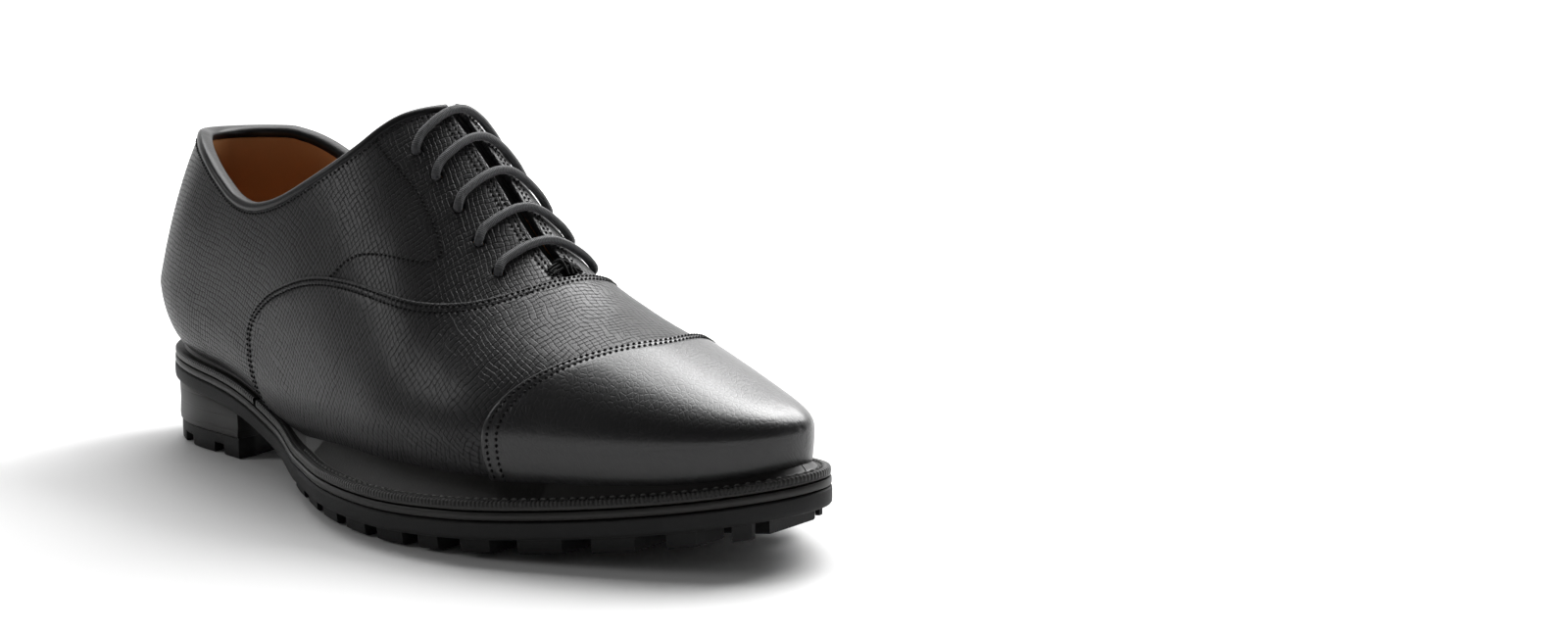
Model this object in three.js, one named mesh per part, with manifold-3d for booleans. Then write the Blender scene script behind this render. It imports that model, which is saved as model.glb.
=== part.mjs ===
// Cap-toe oxford shoe for the right foot, built in layers on one shared last surface.
// Millimetres, +X towards the toe, +Y towards the inner side, +Z up, ground at z = 0.
// x is first measured from the back of the outsole; the whole shoe is then moved so that
// the origin lies on the ground under the middle of the heel.
import * as THREE from 'three';
import { mergeVertices } from 'three/addons/utils/BufferGeometryUtils.js';
import Module from 'manifold-3d';

const wasm = await Module();
wasm.setup();
const { Manifold, Mesh: ManifoldMesh } = wasm;

// ---------------------------------------------------------------- driving sizes
const SOLE_LENGTH = 300;
const SOLE_BACK = 1;
const SOLE_WIDTH_SCALE = 1;
const UPPER_HEIGHT_SCALE = 1;
const HEEL_CENTRE_X = 36;
const HEEL_LENGTH = 67;
const TOP_PIECE = 7;
const RUBBER = 5.3;
const MIDSOLE = 2.4;
const WELT = 2.7;
const LUG_DEPTH = 4.5;
const GAP = 0.3;
const LEATHER = 1.3;
const LINING = 1.2;
const LACE_RADIUS = 1.4;
const LACE_ROOM = 1.1 * LACE_RADIUS;
const EYELET_HOLE = LACE_RADIUS + LACE_ROOM;
const EYELET_INNER = LACE_RADIUS + 1;
const EYELET_OUTER = EYELET_INNER + 0.8;
const FACING_GAP = 4.8;
const LAP = 8;

// heights of the sole layers above the outsole's underside
const MIDSOLE_BOTTOM = RUBBER + GAP;
const WELT_BOTTOM = MIDSOLE_BOTTOM + MIDSOLE + GAP;
const WELT_TOP = WELT_BOTTOM + WELT;
const FEATHER = WELT_TOP + GAP + 0.1;

// The tables and outlines below are drawn for a 300 mm sole with its welt 15.5 mm up at the
// ball, and are graded from there whenever one of the sizes above changes.
const LONG = SOLE_LENGTH / 300;
const LIFT = LUG_DEPTH + WELT_TOP - 15.5;
const FAR = SOLE_LENGTH + 60;
const gradeX = (x) => SOLE_BACK + (x - 1) * LONG;
const gradeY = (y) => y * SOLE_WIDTH_SCALE;
const gradeZ = (z) => LIFT + (z > 30 ? 30 + (z - 30) * UPPER_HEIGHT_SCALE : z);
const graded = (outline) => outline.map(([x, z]) => [gradeX(x), gradeZ(z)]);

// ---------------------------------------------------------------- station tables
// twelve stations from heel (0) to toe (1); half-breadths for the outer (L) and inner (M) side
const S = [0, 0.06, 0.13, 0.22, 0.32, 0.42, 0.52, 0.62, 0.72, 0.82, 0.92, 1];
const SOLE_L = [34, 34, 34, 35, 39, 51, 62, 66, 62, 53, 45.5, 42];
const SOLE_M = [34, 34, 33.5, 31, 29.5, 31, 37, 44, 45.5, 41, 36, 33];
const SOLE_Z = [24, 22.5, 20.5, 16.5, 8.5, 4.5, 4.5, 4.5, 5.5, 7.5, 11, 15].map((z) => z + LUG_DEPTH - 4.5);
const FEATHER_L = [29, 29, 29, 30, 33, 38, 43.5, 47.5, 46.5, 40, 35.5, 32];
const FEATHER_M = [29, 29, 28, 26, 24, 25, 29, 34.5, 35.5, 31.5, 27, 24.5];
const WIDE_L = [35, 35, 35, 36.5, 39.5, 44, 49, 52.5, 51, 44, 39, 36];
const WIDE_M = [35, 35, 34.5, 33.5, 33, 34, 37, 40, 39.2, 34, 29.5, 27];
const WIDE_UP = [24, 24, 23, 21, 19, 17.5, 16, 15, 14, 13, 12, 11];
const RIDGE_Z = [132, 133.1, 134.2, 136.4, 137.6, 130, 108.6, 80.6, 63.8, 54.7, 47.5, 43];
const FULLNESS = [2.3, 2.3, 2.3, 2.3, 2.2, 1.9, 1.75, 1.75, 1.9, 2.05, 2.1, 2.1];
const FEATHER_ENDS = [6, 290.5].map(gradeX);
const WIDE_ENDS = [-7, 292].map(gradeX);
const RIDGE_ENDS = [24, 292].map(gradeX);

// side-view outlines (x, z)
const TOPLINE = graded([[-40, 113], [20, 113], [32, 111.5], [44, 106.5], [58, 98.5], [70, 92.5], [82, 90.5],
  [95, 92.5], [107, 97], [121, 104.5], [130, 111], [135, 116.5], [139, 120.5], [143, 122.8], [147, 124.2],
  [151, 125.5], [175, 128]]);
const VAMP_SEAM = graded([[91, 12], [88, 28], [85.5, 44], [87, 51], [91, 56], [99, 61.5], [109, 65.5],
  [121, 68.8], [133, 70.2], [145, 70], [155, 69], [165, 67.5], [175, 66], [184, 65.5], [193, 66.3], [200, 69],
  [205, 74], [206, 84]]);
const SWAN_NECK = graded([[134, 114], [142, 108.5], [150, 103], [159, 96.5], [167, 89], [173, 82.5], [175, 79],
  [171, 77.2], [163, 78], [154, 78.6], [146, 77.8], [140, 75], [136.5, 71.5], [136, 62], [215, 62], [215, 135],
  [146, 135]]);
const COUNTER_EDGE = graded([[-40, -20], [-40, 82], [20, 82], [44, 70], [66, 50], [74, 20], [74, -20]]);
const GRIP_FRONT = gradeX(46);
const CAP_POINT = gradeX(243);
const BAR_TACK_X = gradeX(199);
const SLOT = [gradeX(120), gradeX(215)];
const SHANK = [HEEL_LENGTH - 22, gradeX(150)];
// eyelet positions in plan: x, and distance from the centre line
const EYELETS = [[150.5, 17.8], [160.2, 17.8], [170.8, 18], [180.8, 18.4], [190.6, 19.2]]
  .map(([x, y]) => [gradeX(x), gradeY(y)]);
// plan outline of the tongue
const TONGUE = [[132, -21], [128.5, -12], [127.5, 0], [128.5, 12], [132, 21], [150, 24], [175, 22], [198, 15],
  [204, 11], [204, -11], [198, -15], [175, -22], [150, -24]].map(([x, y]) => [gradeX(x), gradeY(y)]);

// ---------------------------------------------------------------- colours
const BLACK_LEATHER = { color: 0x17171a, roughness: 0.45, metalness: 0 };
const TAN_LEATHER = { color: 0xb0703a, roughness: 0.6, metalness: 0 };
const BOARD = { color: 0x9a7a55, roughness: 0.85, metalness: 0 };
const WELT_LEATHER = { color: 0x2a2826, roughness: 0.55, metalness: 0 };
const RUBBER_LOOK = { color: 0x1e1e1f, roughness: 0.75, metalness: 0 };
const CORD = { color: 0x26272b, roughness: 0.7, metalness: 0 };
const STEEL = { color: 0x9a9ca0, roughness: 0.35, metalness: 1 };
const CORK = { color: 0xa87b4a, roughness: 0.95, metalness: 0 };

// ---------------------------------------------------------------- curve helpers
function slopeAt(xs, ys, i) {
  const last = xs.length - 1;
  if (i === 0) return (ys[1] - ys[0]) / (xs[1] - xs[0]);
  if (i === last) return (ys[last] - ys[last - 1]) / (xs[last] - xs[last - 1]);
  const h0 = xs[i] - xs[i - 1];
  const h1 = xs[i + 1] - xs[i];
  if ((ys[i] - ys[i - 1]) * (ys[i + 1] - ys[i]) <= 0) return 0;
  return ((ys[i] - ys[i - 1]) / h0 * h1 + (ys[i + 1] - ys[i]) / h1 * h0) / (h0 + h1);
}

function table(ys, s, xs = S) {
  let i = 0;
  while (i < xs.length - 2 && s > xs[i + 1]) i += 1;
  const h = xs[i + 1] - xs[i];
  const t = (s - xs[i]) / h;
  const u = 1 - t;
  return ys[i] * (1 + 2 * t) * u * u + h * slopeAt(xs, ys, i) * t * u * u
    + ys[i + 1] * t * t * (3 - 2 * t) - h * slopeAt(xs, ys, i + 1) * t * t * u;
}

const clamp = (v, a, b) => Math.min(b, Math.max(a, v));

// rounds a half-breadth off to nothing at the heel and toe ends
function roundEnds(s, heel, heelPower, toe, toePower) {
  const a = clamp((heel - s) / heel, 0, 1);
  const b = clamp((s - 1 + toe) / toe, 0, 1);
  return (1 - a ** heelPower) ** (1 / heelPower) * (1 - b ** toePower) ** (1 / toePower);
}

const soleZ = (x) => table(SOLE_Z, clamp((x - SOLE_BACK) / SOLE_LENGTH, 0, 1));
const along = (ends, s) => ends[0] + (ends[1] - ends[0]) * s;
const LOWER = 0.28;

// a point of the upper: s along, v from feather (0) to ridge (1), side +1 inner or -1 outer
function skin(s, v, side) {
  const x0 = along(FEATHER_ENDS, s);
  const xw = along(WIDE_ENDS, s);
  const xr = along(RIDGE_ENDS, s);
  const z0 = soleZ(clamp(x0, SOLE_BACK + 1, SOLE_BACK + SOLE_LENGTH - 1)) + FEATHER;
  const zw = z0 + table(WIDE_UP, s) * UPPER_HEIGHT_SCALE;
  const end = roundEnds(s, 0.17, 2.2, 0.3, 2.1);
  const b0 = gradeY(table(side > 0 ? FEATHER_M : FEATHER_L, s)) * end;
  const bw = gradeY(table(side > 0 ? WIDE_M : WIDE_L, s)) * end;
  const toeFall = roundEnds(Math.max(s, 0.5), 0.17, 2.2, 0.24, 2.3);
  const zr = zw + (gradeZ(table(RIDGE_Z, s)) - zw) * toeFall;
  if (v < LOWER) {
    const a = (v / LOWER) * Math.PI / 2;
    const out = Math.sin(a) ** (2 / 1.8);
    const up = 1 - Math.cos(a) ** (2 / 1.8);
    return [x0 + (xw - x0) * out, side * (b0 + (bw - b0) * out), z0 + (zw - z0) * up];
  }
  const a = (v - LOWER) / (1 - LOWER) * Math.PI / 2;
  const n = table(FULLNESS, s);
  const c = Math.max(0, Math.cos(a)) ** (2 / n);
  const d = Math.sin(a) ** (2 / n);
  return [xw + (xr - xw) * d, side * bw * c, zw + (zr - zw) * d];
}

function sideNormal(s, v, side) {
  const e = 1e-3;
  const at = (a, b) => new THREE.Vector3(...skin(clamp(a, 1e-4, 1 - 1e-4), clamp(b, 2e-4, 1 - 2e-4), side));
  const ds = at(s + e, v).sub(at(s - e, v));
  const dv = at(s, v + e).sub(at(s, v - e));
  return dv.cross(ds).multiplyScalar(side).normalize();
}

// outward direction of the upper at (s, v); level at the feather, upright in the middle plane
function skinNormal(s, v, side) {
  const level = v <= 0 ? 0.12 : v;
  const normal = sideNormal(s, level, side);
  if (s <= 0 || s >= 1 || v >= 1) {
    normal.add(sideNormal(s, level, -side));
    normal.y = 0;
  }
  if (v <= 0) normal.z = 0;
  return normal.normalize();
}

const STATIONS = 22;
const ROWS = [0, 0.09, 0.19, 0.28, 0.37, 0.46, 0.55, 0.64, 0.73, 0.82, 0.91, 1];
const spaced = (i) => 0.5 - 0.5 * Math.cos(Math.PI * i / STATIONS);

const lattice = [];
for (let i = 0; i <= STATIONS; i += 1) {
  const s = spaced(i);
  const ring = [];
  const put = (v, side) => ring.push([new THREE.Vector3(...skin(s, v, side)), skinNormal(s, v, side)]);
  ROWS.forEach((v) => put(v, -1));
  ROWS.slice(0, -1).reverse().forEach((v) => put(v, 1));
  lattice.push(ring);
}

// a lattice point moved outward; the feather rows keep following the sole
function moved(i, j, off) {
  const [base, normal] = lattice[i][j];
  const p = base.clone().addScaledVector(normal, off);
  if (j === 0 || j === lattice[0].length - 1) p.z += soleZ(p.x) - soleZ(base.x);
  return p;
}

// height of a facet over a plan position, or nothing when the position is beside it
function heightOver(x, y, a, b, c) {
  const area = (b.x - a.x) * (c.y - a.y) - (c.x - a.x) * (b.y - a.y);
  if (Math.abs(area) < 1e-9) return -Infinity;
  const u = ((x - a.x) * (c.y - a.y) - (c.x - a.x) * (y - a.y)) / area;
  const w = ((b.x - a.x) * (y - a.y) - (x - a.x) * (b.y - a.y)) / area;
  if (u < -1e-6 || w < -1e-6 || u + w > 1 + 1e-6) return -Infinity;
  return a.z + u * (b.z - a.z) + w * (c.z - a.z);
}

const facetCache = new Map();
function facetsAt(off) {
  const key = off.toFixed(4);
  if (facetCache.has(key)) return facetCache.get(key);
  const facets = [];
  for (let i = 0; i < STATIONS; i += 1) {
    for (let j = 0; j < lattice[0].length - 1; j += 1) {
      const [a, b] = [moved(i, j, off), moved(i, j + 1, off)];
      const [c, d] = [moved(i + 1, j + 1, off), moved(i + 1, j, off)];
      facets.push([a, b, c], [a, c, d]);
    }
  }
  facetCache.set(key, facets);
  return facets;
}

// the point of the upper, moved outward by off, that lies over plan position (x, y)
function overPlan(x, y, off) {
  let z = -Infinity;
  facetsAt(off).forEach(([a, b, c]) => { z = Math.max(z, heightOver(x, y, a, b, c)); });
  return new THREE.Vector3(x, y, z);
}

function normalOver(x, y) {
  const e = 1.5;
  const px = overPlan(x + e, y, 0).sub(overPlan(x - e, y, 0));
  const py = overPlan(x, y + e, 0).sub(overPlan(x, y - e, 0));
  return px.cross(py).normalize();
}

// ---------------------------------------------------------------- solid helpers
function solidFrom(positions, faces) {
  const geometry = new THREE.BufferGeometry();
  geometry.setAttribute('position', new THREE.Float32BufferAttribute(positions.flat(), 3));
  geometry.setIndex(faces.flat());
  return toManifold(geometry);
}

function toManifold(geometry) {
  const bare = new THREE.BufferGeometry();
  bare.setAttribute('position', geometry.getAttribute('position').clone());
  if (geometry.index) bare.setIndex(geometry.index);
  const welded = mergeVertices(bare, 1e-4);
  const position = welded.getAttribute('position');
  const index = welded.index.array;
  const triangles = [];
  let volume = 0;
  for (let i = 0; i < index.length; i += 3) {
    const [a, b, c] = [index[i], index[i + 1], index[i + 2]];
    if (a === b || b === c || a === c) continue;
    triangles.push(a, b, c);
    const p = [a, b, c].map((k) => new THREE.Vector3().fromBufferAttribute(position, k));
    volume += p[0].dot(p[1].cross(p[2]));
  }
  if (volume < 0) {
    for (let i = 0; i < triangles.length; i += 3) {
      [triangles[i], triangles[i + 1]] = [triangles[i + 1], triangles[i]];
    }
  }
  const mesh = new ManifoldMesh({
    numProp: 3,
    vertProperties: new Float32Array(position.array),
    triVerts: new Uint32Array(triangles),
  });
  mesh.merge();
  return new Manifold(mesh);
}

function toGeometry(solid) {
  const mesh = solid.getMesh();
  const indexed = new THREE.BufferGeometry();
  const points = new Float32Array(mesh.numVert * 3);
  for (let i = 0; i < mesh.numVert; i += 1) {
    for (let k = 0; k < 3; k += 1) points[3 * i + k] = mesh.vertProperties[i * mesh.numProp + k];
  }
  indexed.setAttribute('position', new THREE.BufferAttribute(points, 3));
  indexed.setIndex(new THREE.BufferAttribute(new Uint32Array(mesh.triVerts), 1));
  const geometry = indexed.toNonIndexed();
  geometry.translate(-HEEL_CENTRE_X, 0, 0);
  geometry.computeVertexNormals();
  return geometry;
}

// rings of points joined into one closed tube-like body, the ends closed by fans
function loft(rings, capped = true) {
  const n = rings[0].length;
  const positions = rings.flat();
  const faces = [];
  for (let i = 0; i < rings.length - 1; i += 1) {
    for (let j = 0; j < n; j += 1) {
      const a = i * n + j;
      const b = i * n + (j + 1) % n;
      faces.push([a, b, b + n], [a, b + n, a + n]);
    }
  }
  if (capped) {
    for (let j = 1; j < n - 1; j += 1) {
      faces.push([0, j + 1, j]);
      const last = (rings.length - 1) * n;
      faces.push([last, last + j, last + j + 1]);
    }
  }
  return solidFrom(positions, faces);
}

// an outline in the side view (x, z) pushed through along y, or in plan (x, y) pushed up along z
function prism(points, from, to, plan = false) {
  const shape = new THREE.Shape(points.map((p) => new THREE.Vector2(p[0], p[1])));
  const geometry = new THREE.ExtrudeGeometry(shape, { depth: to - from, bevelEnabled: false });
  geometry.translate(0, 0, from);
  if (!plan) geometry.rotateX(Math.PI / 2);
  return toManifold(geometry);
}

function box(x0, x1, y0, y1, z0, z1) {
  const geometry = new THREE.BoxGeometry(x1 - x0, y1 - y0, z1 - z0);
  geometry.translate((x0 + x1) / 2, (y0 + y1) / 2, (z0 + z1) / 2);
  return toManifold(geometry);
}

function rod(centre, direction, radius, length, sides = 10) {
  const geometry = new THREE.CylinderGeometry(radius, radius, length, sides);
  const turn = new THREE.Quaternion().setFromUnitVectors(new THREE.Vector3(0, 1, 0), direction);
  geometry.applyQuaternion(turn);
  geometry.translate(centre.x, centre.y, centre.z);
  return toManifold(geometry);
}

// ---------------------------------------------------------------- shells of the upper
function lastSolid(off, drop) {
  const rings = [];
  for (let i = 0; i <= STATIONS; i += 1) {
    const ring = [];
    const end = lattice[0].length - 1;
    const foot = moved(i, 0, off).toArray();
    const far = moved(i, end, off).toArray();
    if (drop > 0) ring.push([foot[0], foot[1], foot[2] - drop]);
    for (let j = 0; j <= end; j += 1) ring.push(moved(i, j, off).toArray());
    if (drop > 0) ring.push([far[0], far[1], far[2] - drop]);
    rings.push(ring);
  }
  return loft(rings, false);
}

const shellCache = new Map();
function shell(inner, outer) {
  const key = `${inner}/${outer}`;
  if (!shellCache.has(key)) shellCache.set(key, lastSolid(outer, 0).subtract(lastSolid(inner, 12)));
  return shellCache.get(key);
}

// a polyline moved sideways by d (to its right-hand side when walking along it)
function sideStep(points, d) {
  return points.map((p, i) => {
    const a = points[Math.max(0, i - 1)];
    const b = points[Math.min(points.length - 1, i + 1)];
    const len = Math.hypot(b[0] - a[0], b[1] - a[1]);
    return [p[0] + (b[1] - a[1]) / len * d, p[1] - (b[0] - a[0]) / len * d];
  });
}

// everything in front of the vamp seam, the seam first moved d into the vamp
function vampSide(d) {
  const seam = d === 0 ? VAMP_SEAM : sideStep(VAMP_SEAM, d);
  const first = seam[0];
  const last = seam[seam.length - 1];
  return prism([[first[0], -20], ...seam, [last[0], 190], [FAR, 190], [FAR, -20]], -90, 90);
}

function behindVamp(d) {
  return box(-60, FAR - 10, -80, 80, -30, 190).subtract(vampSide(d));
}

// x of the toe-cap seam at distance y from the centre line
const capSeam = (y) => CAP_POINT - LONG * (y < 0 ? 26 : 20) * (Math.abs(y) / gradeY(y < 0 ? 50 : 42)) ** 1.6;

function capSide(d) {
  const seam = [];
  for (let k = -11; k <= 11; k += 1) seam.push([capSeam(gradeY(6 * k)) + d, gradeY(6 * k)]);
  return prism([...seam, [FAR, gradeY(66)], [FAR, gradeY(-66)]], -20, 150, true);
}

function underTopline(d) {
  const edge = TOPLINE.map((p) => [p[0], p[1] + d]);
  return prism([[edge[0][0], -20], ...edge, [FAR, gradeZ(124)], [FAR, -20]].reverse(), -80, 80);
}

const inFront = (x) => box(x, FAR, -80, 80, -30, 190);
const behind = (x) => box(-60, x, -80, 80, -30, 190);
const outerHalf = (gap) => box(-60, FAR, -80, -gap, -30, 190);
const innerHalf = (gap) => box(-60, FAR, gap, 80, -30, 190);
const halfOf = (side, gap) => (side < 0 ? outerHalf(gap) : innerHalf(gap));
const facingSlot = () => box(...SLOT, -FACING_GAP / 2, FACING_GAP / 2, 40, 190);

function eyeletHoles(side, radius) {
  const rods = EYELETS.map(([x, y]) => rod(overPlan(x, side * y, 0), normalOver(x, side * y), radius, 14, 8));
  return Manifold.union(rods);
}

// ---------------------------------------------------------------- upper pieces
const OUTER = [-LEATHER, 0];
const LAPPED = [GAP, GAP + LEATHER];
const TOP = [2 * GAP + LEATHER, 2 * GAP + 2 * LEATHER];
const STIFF = [-LEATHER - GAP - 1.2, -LEATHER - GAP];
const INNER = [STIFF[0] - GAP - LINING, STIFF[0] - GAP];
const BINDING_DEPTH = 3;

function quarter(side) {
  return shell(...OUTER)
    .intersect(behindVamp(LAP))
    .intersect(underTopline(-BINDING_DEPTH - GAP))
    .intersect(halfOf(side, GAP / 2))
    .subtract(facingSlot())
    .subtract(eyeletHoles(side, EYELET_HOLE));
}

function vamp() {
  return shell(...LAPPED).intersect(vampSide(0)).subtract(capSide(LAP));
}

function toeCap() {
  return shell(...TOP).intersect(capSide(0));
}

function vampDoubler() {
  return shell(STIFF[0], 0).intersect(vampSide(LAP + GAP + 0.4)).subtract(capSide(LAP + GAP));
}

function toePuff() {
  return shell(STIFF[0] + 2 * GAP, LAPPED[1]).intersect(capSide(LAP + 2 * GAP));
}

function heelCounter() {
  return shell(...STIFF).intersect(prism([...COUNTER_EDGE].reverse(), -80, 80));
}

function facingStay(side) {
  return shell(...STIFF)
    .intersect(prism(SWAN_NECK, -80, 80))
    .intersect(underTopline(-BINDING_DEPTH - GAP))
    .intersect(behindVamp(LAP - 1))
    .intersect(halfOf(side, GAP / 2))
    .subtract(facingSlot())
    .subtract(eyeletHoles(side, EYELET_OUTER + 1.5 * GAP));
}

function liningShell() {
  return shell(...INNER).intersect(underTopline(-BINDING_DEPTH - GAP));
}

function heelGrip() {
  return liningShell().intersect(behind(GRIP_FRONT));
}

function quarterLining(side) {
  return liningShell()
    .intersect(inFront(GRIP_FRONT + GAP))
    .intersect(behindVamp(LAP + 4))
    .intersect(halfOf(side, GAP / 2))
    .subtract(facingSlot())
    .subtract(eyeletHoles(side, EYELET_HOLE + 0.6));
}

function vampLining() {
  return shell(...INNER).intersect(vampSide(LAP + 4 + GAP + 0.2));
}

function toplineBinding() {
  return shell(INNER[0] - 0.3, 0.35)
    .intersect(underTopline(0))
    .subtract(underTopline(-BINDING_DEPTH))
    .subtract(box(SLOT[0], SLOT[1] + 23, -FACING_GAP / 2 - 0.1, FACING_GAP / 2 + 0.1, 40, 190));
}

// the tongue is a strip of the last surface lying under the facings and the lace
function tongueLayer(inner, outer, grow) {
  const middle = gradeX(166);
  const rows = TONGUE.map((p) => [p[0] + Math.sign(middle - p[0]) * grow, p[1] - Math.sign(p[1]) * grow]);
  return shell(inner, outer).intersect(prism(rows, 30, 190, true));
}

// ---------------------------------------------------------------- lace
const LACE_OUT = 1.6 * LACE_RADIUS;
const LACE_LIP = 0.65 * LACE_RADIUS;
const LACE_IN = INNER[0] - LACE_RADIUS - 0.7;
// distances from the centre line at which the lace passes an eyelet under the facing
const LANES = [gradeY(13.6), gradeY(23.4)];

function laceHole(k, side, offset) {
  const [x, y] = EYELETS[k];
  const surface = overPlan(x, side * y, 0);
  return surface.addScaledVector(normalOver(x, side * y), offset);
}

// over the gap from one eyelet to its opposite
function laceBar(k, from) {
  const [x, y] = EYELETS[k];
  const points = [laceHole(k, from, -4.4), laceHole(k, from, -2), laceHole(k, from, LACE_LIP)];
  const across = [0.9, 0.7, 0.45, 0.15, -0.15, -0.45, -0.7, -0.9];
  across.forEach((f) => points.push(overPlan(x, from * y * f, LACE_OUT)));
  points.push(laceHole(k, -from, LACE_LIP), laceHole(k, -from, -2), laceHole(k, -from, -4.4));
  return points;
}

// under the facing from one eyelet to another on the same side, beside the eyelet between them
function laceRun(a, b, side, lane) {
  const [xa] = EYELETS[a];
  const [xb] = EYELETS[b];
  const sign = Math.sign(xb - xa);
  const points = [laceHole(a, side, LACE_IN)];
  if (Math.abs(a - b) > 1) {
    points.push(overPlan(xa + sign * 6, side * lane, LACE_IN));
    points.push(overPlan((xa + xb) / 2, side * lane, LACE_IN));
    points.push(overPlan(xb - sign * 7, side * lane, LACE_IN));
  }
  points.push(laceHole(b, side, LACE_IN));
  return points;
}

function lacePath() {
  const outer = -1;
  const inner = 1;
  const tail = (k, side) => {
    const [x, y] = EYELETS[k];
    const down = [[-6.5, 8.5], [-5.5, 6.5], [-4.5, 3.5]].map((d) => overPlan(x + d[0], side * (y + d[1]), LACE_IN));
    return [...down, laceHole(k, side, LACE_IN)];
  };
  return [
    ...tail(1, outer),
    ...laceBar(1, outer), ...laceRun(1, 3, inner, LANES[0]),
    ...laceBar(3, inner), ...laceRun(3, 4, outer, LANES[0]),
    ...laceBar(4, outer), ...laceRun(4, 2, inner, LANES[1]),
    ...laceBar(2, inner), ...laceRun(2, 0, outer, LANES[0]),
    ...laceBar(0, outer), ...tail(0, inner).reverse(),
  ];
}

// a round cord swept along given points with frames carried without twist
function sweep(points, radius, sides) {
  const rings = [];
  let normal = null;
  points.forEach((p, i) => {
    const a = points[Math.max(0, i - 1)];
    const b = points[Math.min(points.length - 1, i + 1)];
    const tangent = b.clone().sub(a).normalize();
    if (!normal) normal = new THREE.Vector3(0.3, 0.5, 0.8);
    normal.addScaledVector(tangent, -normal.dot(tangent)).normalize();
    const other = tangent.clone().cross(normal);
    const ring = [];
    for (let k = 0; k < sides; k += 1) {
      const angle = 2 * Math.PI * k / sides;
      const q = p.clone()
        .addScaledVector(normal, radius * Math.cos(angle))
        .addScaledVector(other, radius * Math.sin(angle));
      ring.push(q.toArray());
    }
    rings.push(ring);
  });
  return loft(rings);
}

function lace() {
  return sweep(lacePath(), LACE_RADIUS, 8);
}

function aglet(side) {
  const path = lacePath();
  const end = side < 0 ? path[0] : path[path.length - 1];
  const down = new THREE.Vector3(-0.2, side * -0.05, -1).normalize();
  return sweep([1.9, 5, 9, 13].map((d) => end.clone().addScaledVector(down, d)), 1.2, 8);
}

// a thin ring set into the stay around its hole
function eyelet(k, side) {
  const [x, y] = EYELETS[k];
  const normal = normalOver(x, side * y);
  const middle = overPlan(x, side * y, 0);
  return shell(STIFF[0] + 0.15, STIFF[1] - 0.15)
    .intersect(rod(middle, normal, EYELET_OUTER, 12, 8))
    .subtract(rod(middle, normal, EYELET_INNER, 16, 8));
}

function barTack() {
  const points = [-6, -3, 0, 3, 6].map((y) => overPlan(BAR_TACK_X, y, 1.25));
  return sweep(points, 0.7, 8);
}

// ---------------------------------------------------------------- bottom pieces
// a layer of the sole between two heights above the outsole's underside
function slab(inset, low, high, stations = 24) {
  const rings = [];
  for (let i = 0; i <= stations; i += 1) {
    const s = 0.5 - 0.5 * Math.cos(Math.PI * i / stations);
    const x = SOLE_BACK + inset + (SOLE_LENGTH - 2 * inset) * s;
    const end = roundEnds(s, 0.16, 2.3, 0.3, 2.1);
    const left = (gradeY(table(SOLE_M, s)) - inset) * end;
    const right = (gradeY(table(SOLE_L, s)) - inset) * end;
    const z = soleZ(x);
    rings.push([[x, -right, z + low], [x, left, z + low], [x, left, z + high], [x, -right, z + high]]);
  }
  return loft(rings, false);
}

// a layer that follows the feather line of the upper
function bed(off, low, high) {
  const rings = [];
  for (let i = 0; i <= STATIONS; i += 1) {
    const a = moved(i, 0, off);
    const b = moved(i, lattice[0].length - 1, off);
    rings.push([[a.x, a.y, a.z + low], [b.x, b.y, b.z + low], [b.x, b.y, b.z + high], [a.x, a.y, a.z + high]]);
  }
  return loft(rings, false);
}

const RAND_FRONT = HEEL_LENGTH + 14;
const NAILS = [[14, 0], [24, -20], [24, 20], [HEEL_LENGTH - 19, -22], [HEEL_LENGTH - 19, 21]]
  .map(([x, y]) => [x, gradeY(y)]);

function weltRing() {
  return slab(0.4, WELT_BOTTOM, WELT_TOP).subtract(bed(-5.5, -8, 6));
}

function welt() {
  return weltRing().intersect(inFront(RAND_FRONT));
}

function heelRand() {
  return weltRing().intersect(behind(RAND_FRONT - GAP));
}

function insole() {
  return bed(INNER[0] - GAP, 0.1, 3);
}

function insoleRib() {
  return bed(-7.2, -2.9, -0.2).subtract(bed(-9.2, -8, 6)).intersect(inFront(RAND_FRONT));
}

const shankSpace = (room) => box(SHANK[0] - room, SHANK[1] + room, -8 - room, 8 + room, 0, 60);

function corkFiller() {
  const front = bed(-9.5, -2.9, -0.2).intersect(inFront(RAND_FRONT - 1));
  const back = bed(-5.8, -2.9, -0.2).intersect(behind(RAND_FRONT - GAP - 1));
  return front.add(back).add(bed(-9.5, -2.9, -0.2)).subtract(shankSpace(GAP).intersect(bed(-6, -1.9, 5)));
}

function shank() {
  return shankSpace(0).intersect(bed(-6, -1.6, -0.5));
}

function nailHoles(radius) {
  const up = new THREE.Vector3(0, 0, 1);
  return Manifold.union(NAILS.map(([x, y]) => rod(new THREE.Vector3(x, y, 20), up, radius, 60, 10)));
}

function midsole() {
  return slab(0.2, MIDSOLE_BOTTOM, MIDSOLE_BOTTOM + MIDSOLE);
}

const TREAD = [gradeX(118), gradeX(294)];
const TREAD_GROOVES = [133, 150, 167, 184, 201, 215, 231.5, 251, 269.5, 284].map(gradeX);

function outsole() {
  const grooves = [];
  TREAD_GROOVES.forEach((x, i) => {
    const half = i < 5 ? 3 : 3.8;
    grooves.push(box(x - half, x + half, -80, gradeY(-16), -10, soleZ(x) - 0.6));
    grooves.push(box(x - half, x + half, gradeY(14), 80, -10, soleZ(x) - 0.6));
  });
  grooves.push(box(TREAD[0], TREAD[1] - 2, gradeY(-12.3) - 1.75, gradeY(-12.3) + 1.75, -10, LUG_DEPTH - 1.9));
  grooves.push(box(TREAD[0], TREAD[1] - 2, gradeY(10.7) - 1.75, gradeY(10.7) + 1.75, -10, LUG_DEPTH - 1.9));
  const pad = slab(2, -LUG_DEPTH, 1)
    .intersect(box(...TREAD, -80, 80, -20, 40))
    .subtract(Manifold.union(grooves));
  return slab(0, 0, RUBBER).add(pad).subtract(nailHoles(1.6).intersect(behind(HEEL_LENGTH)));
}

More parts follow.
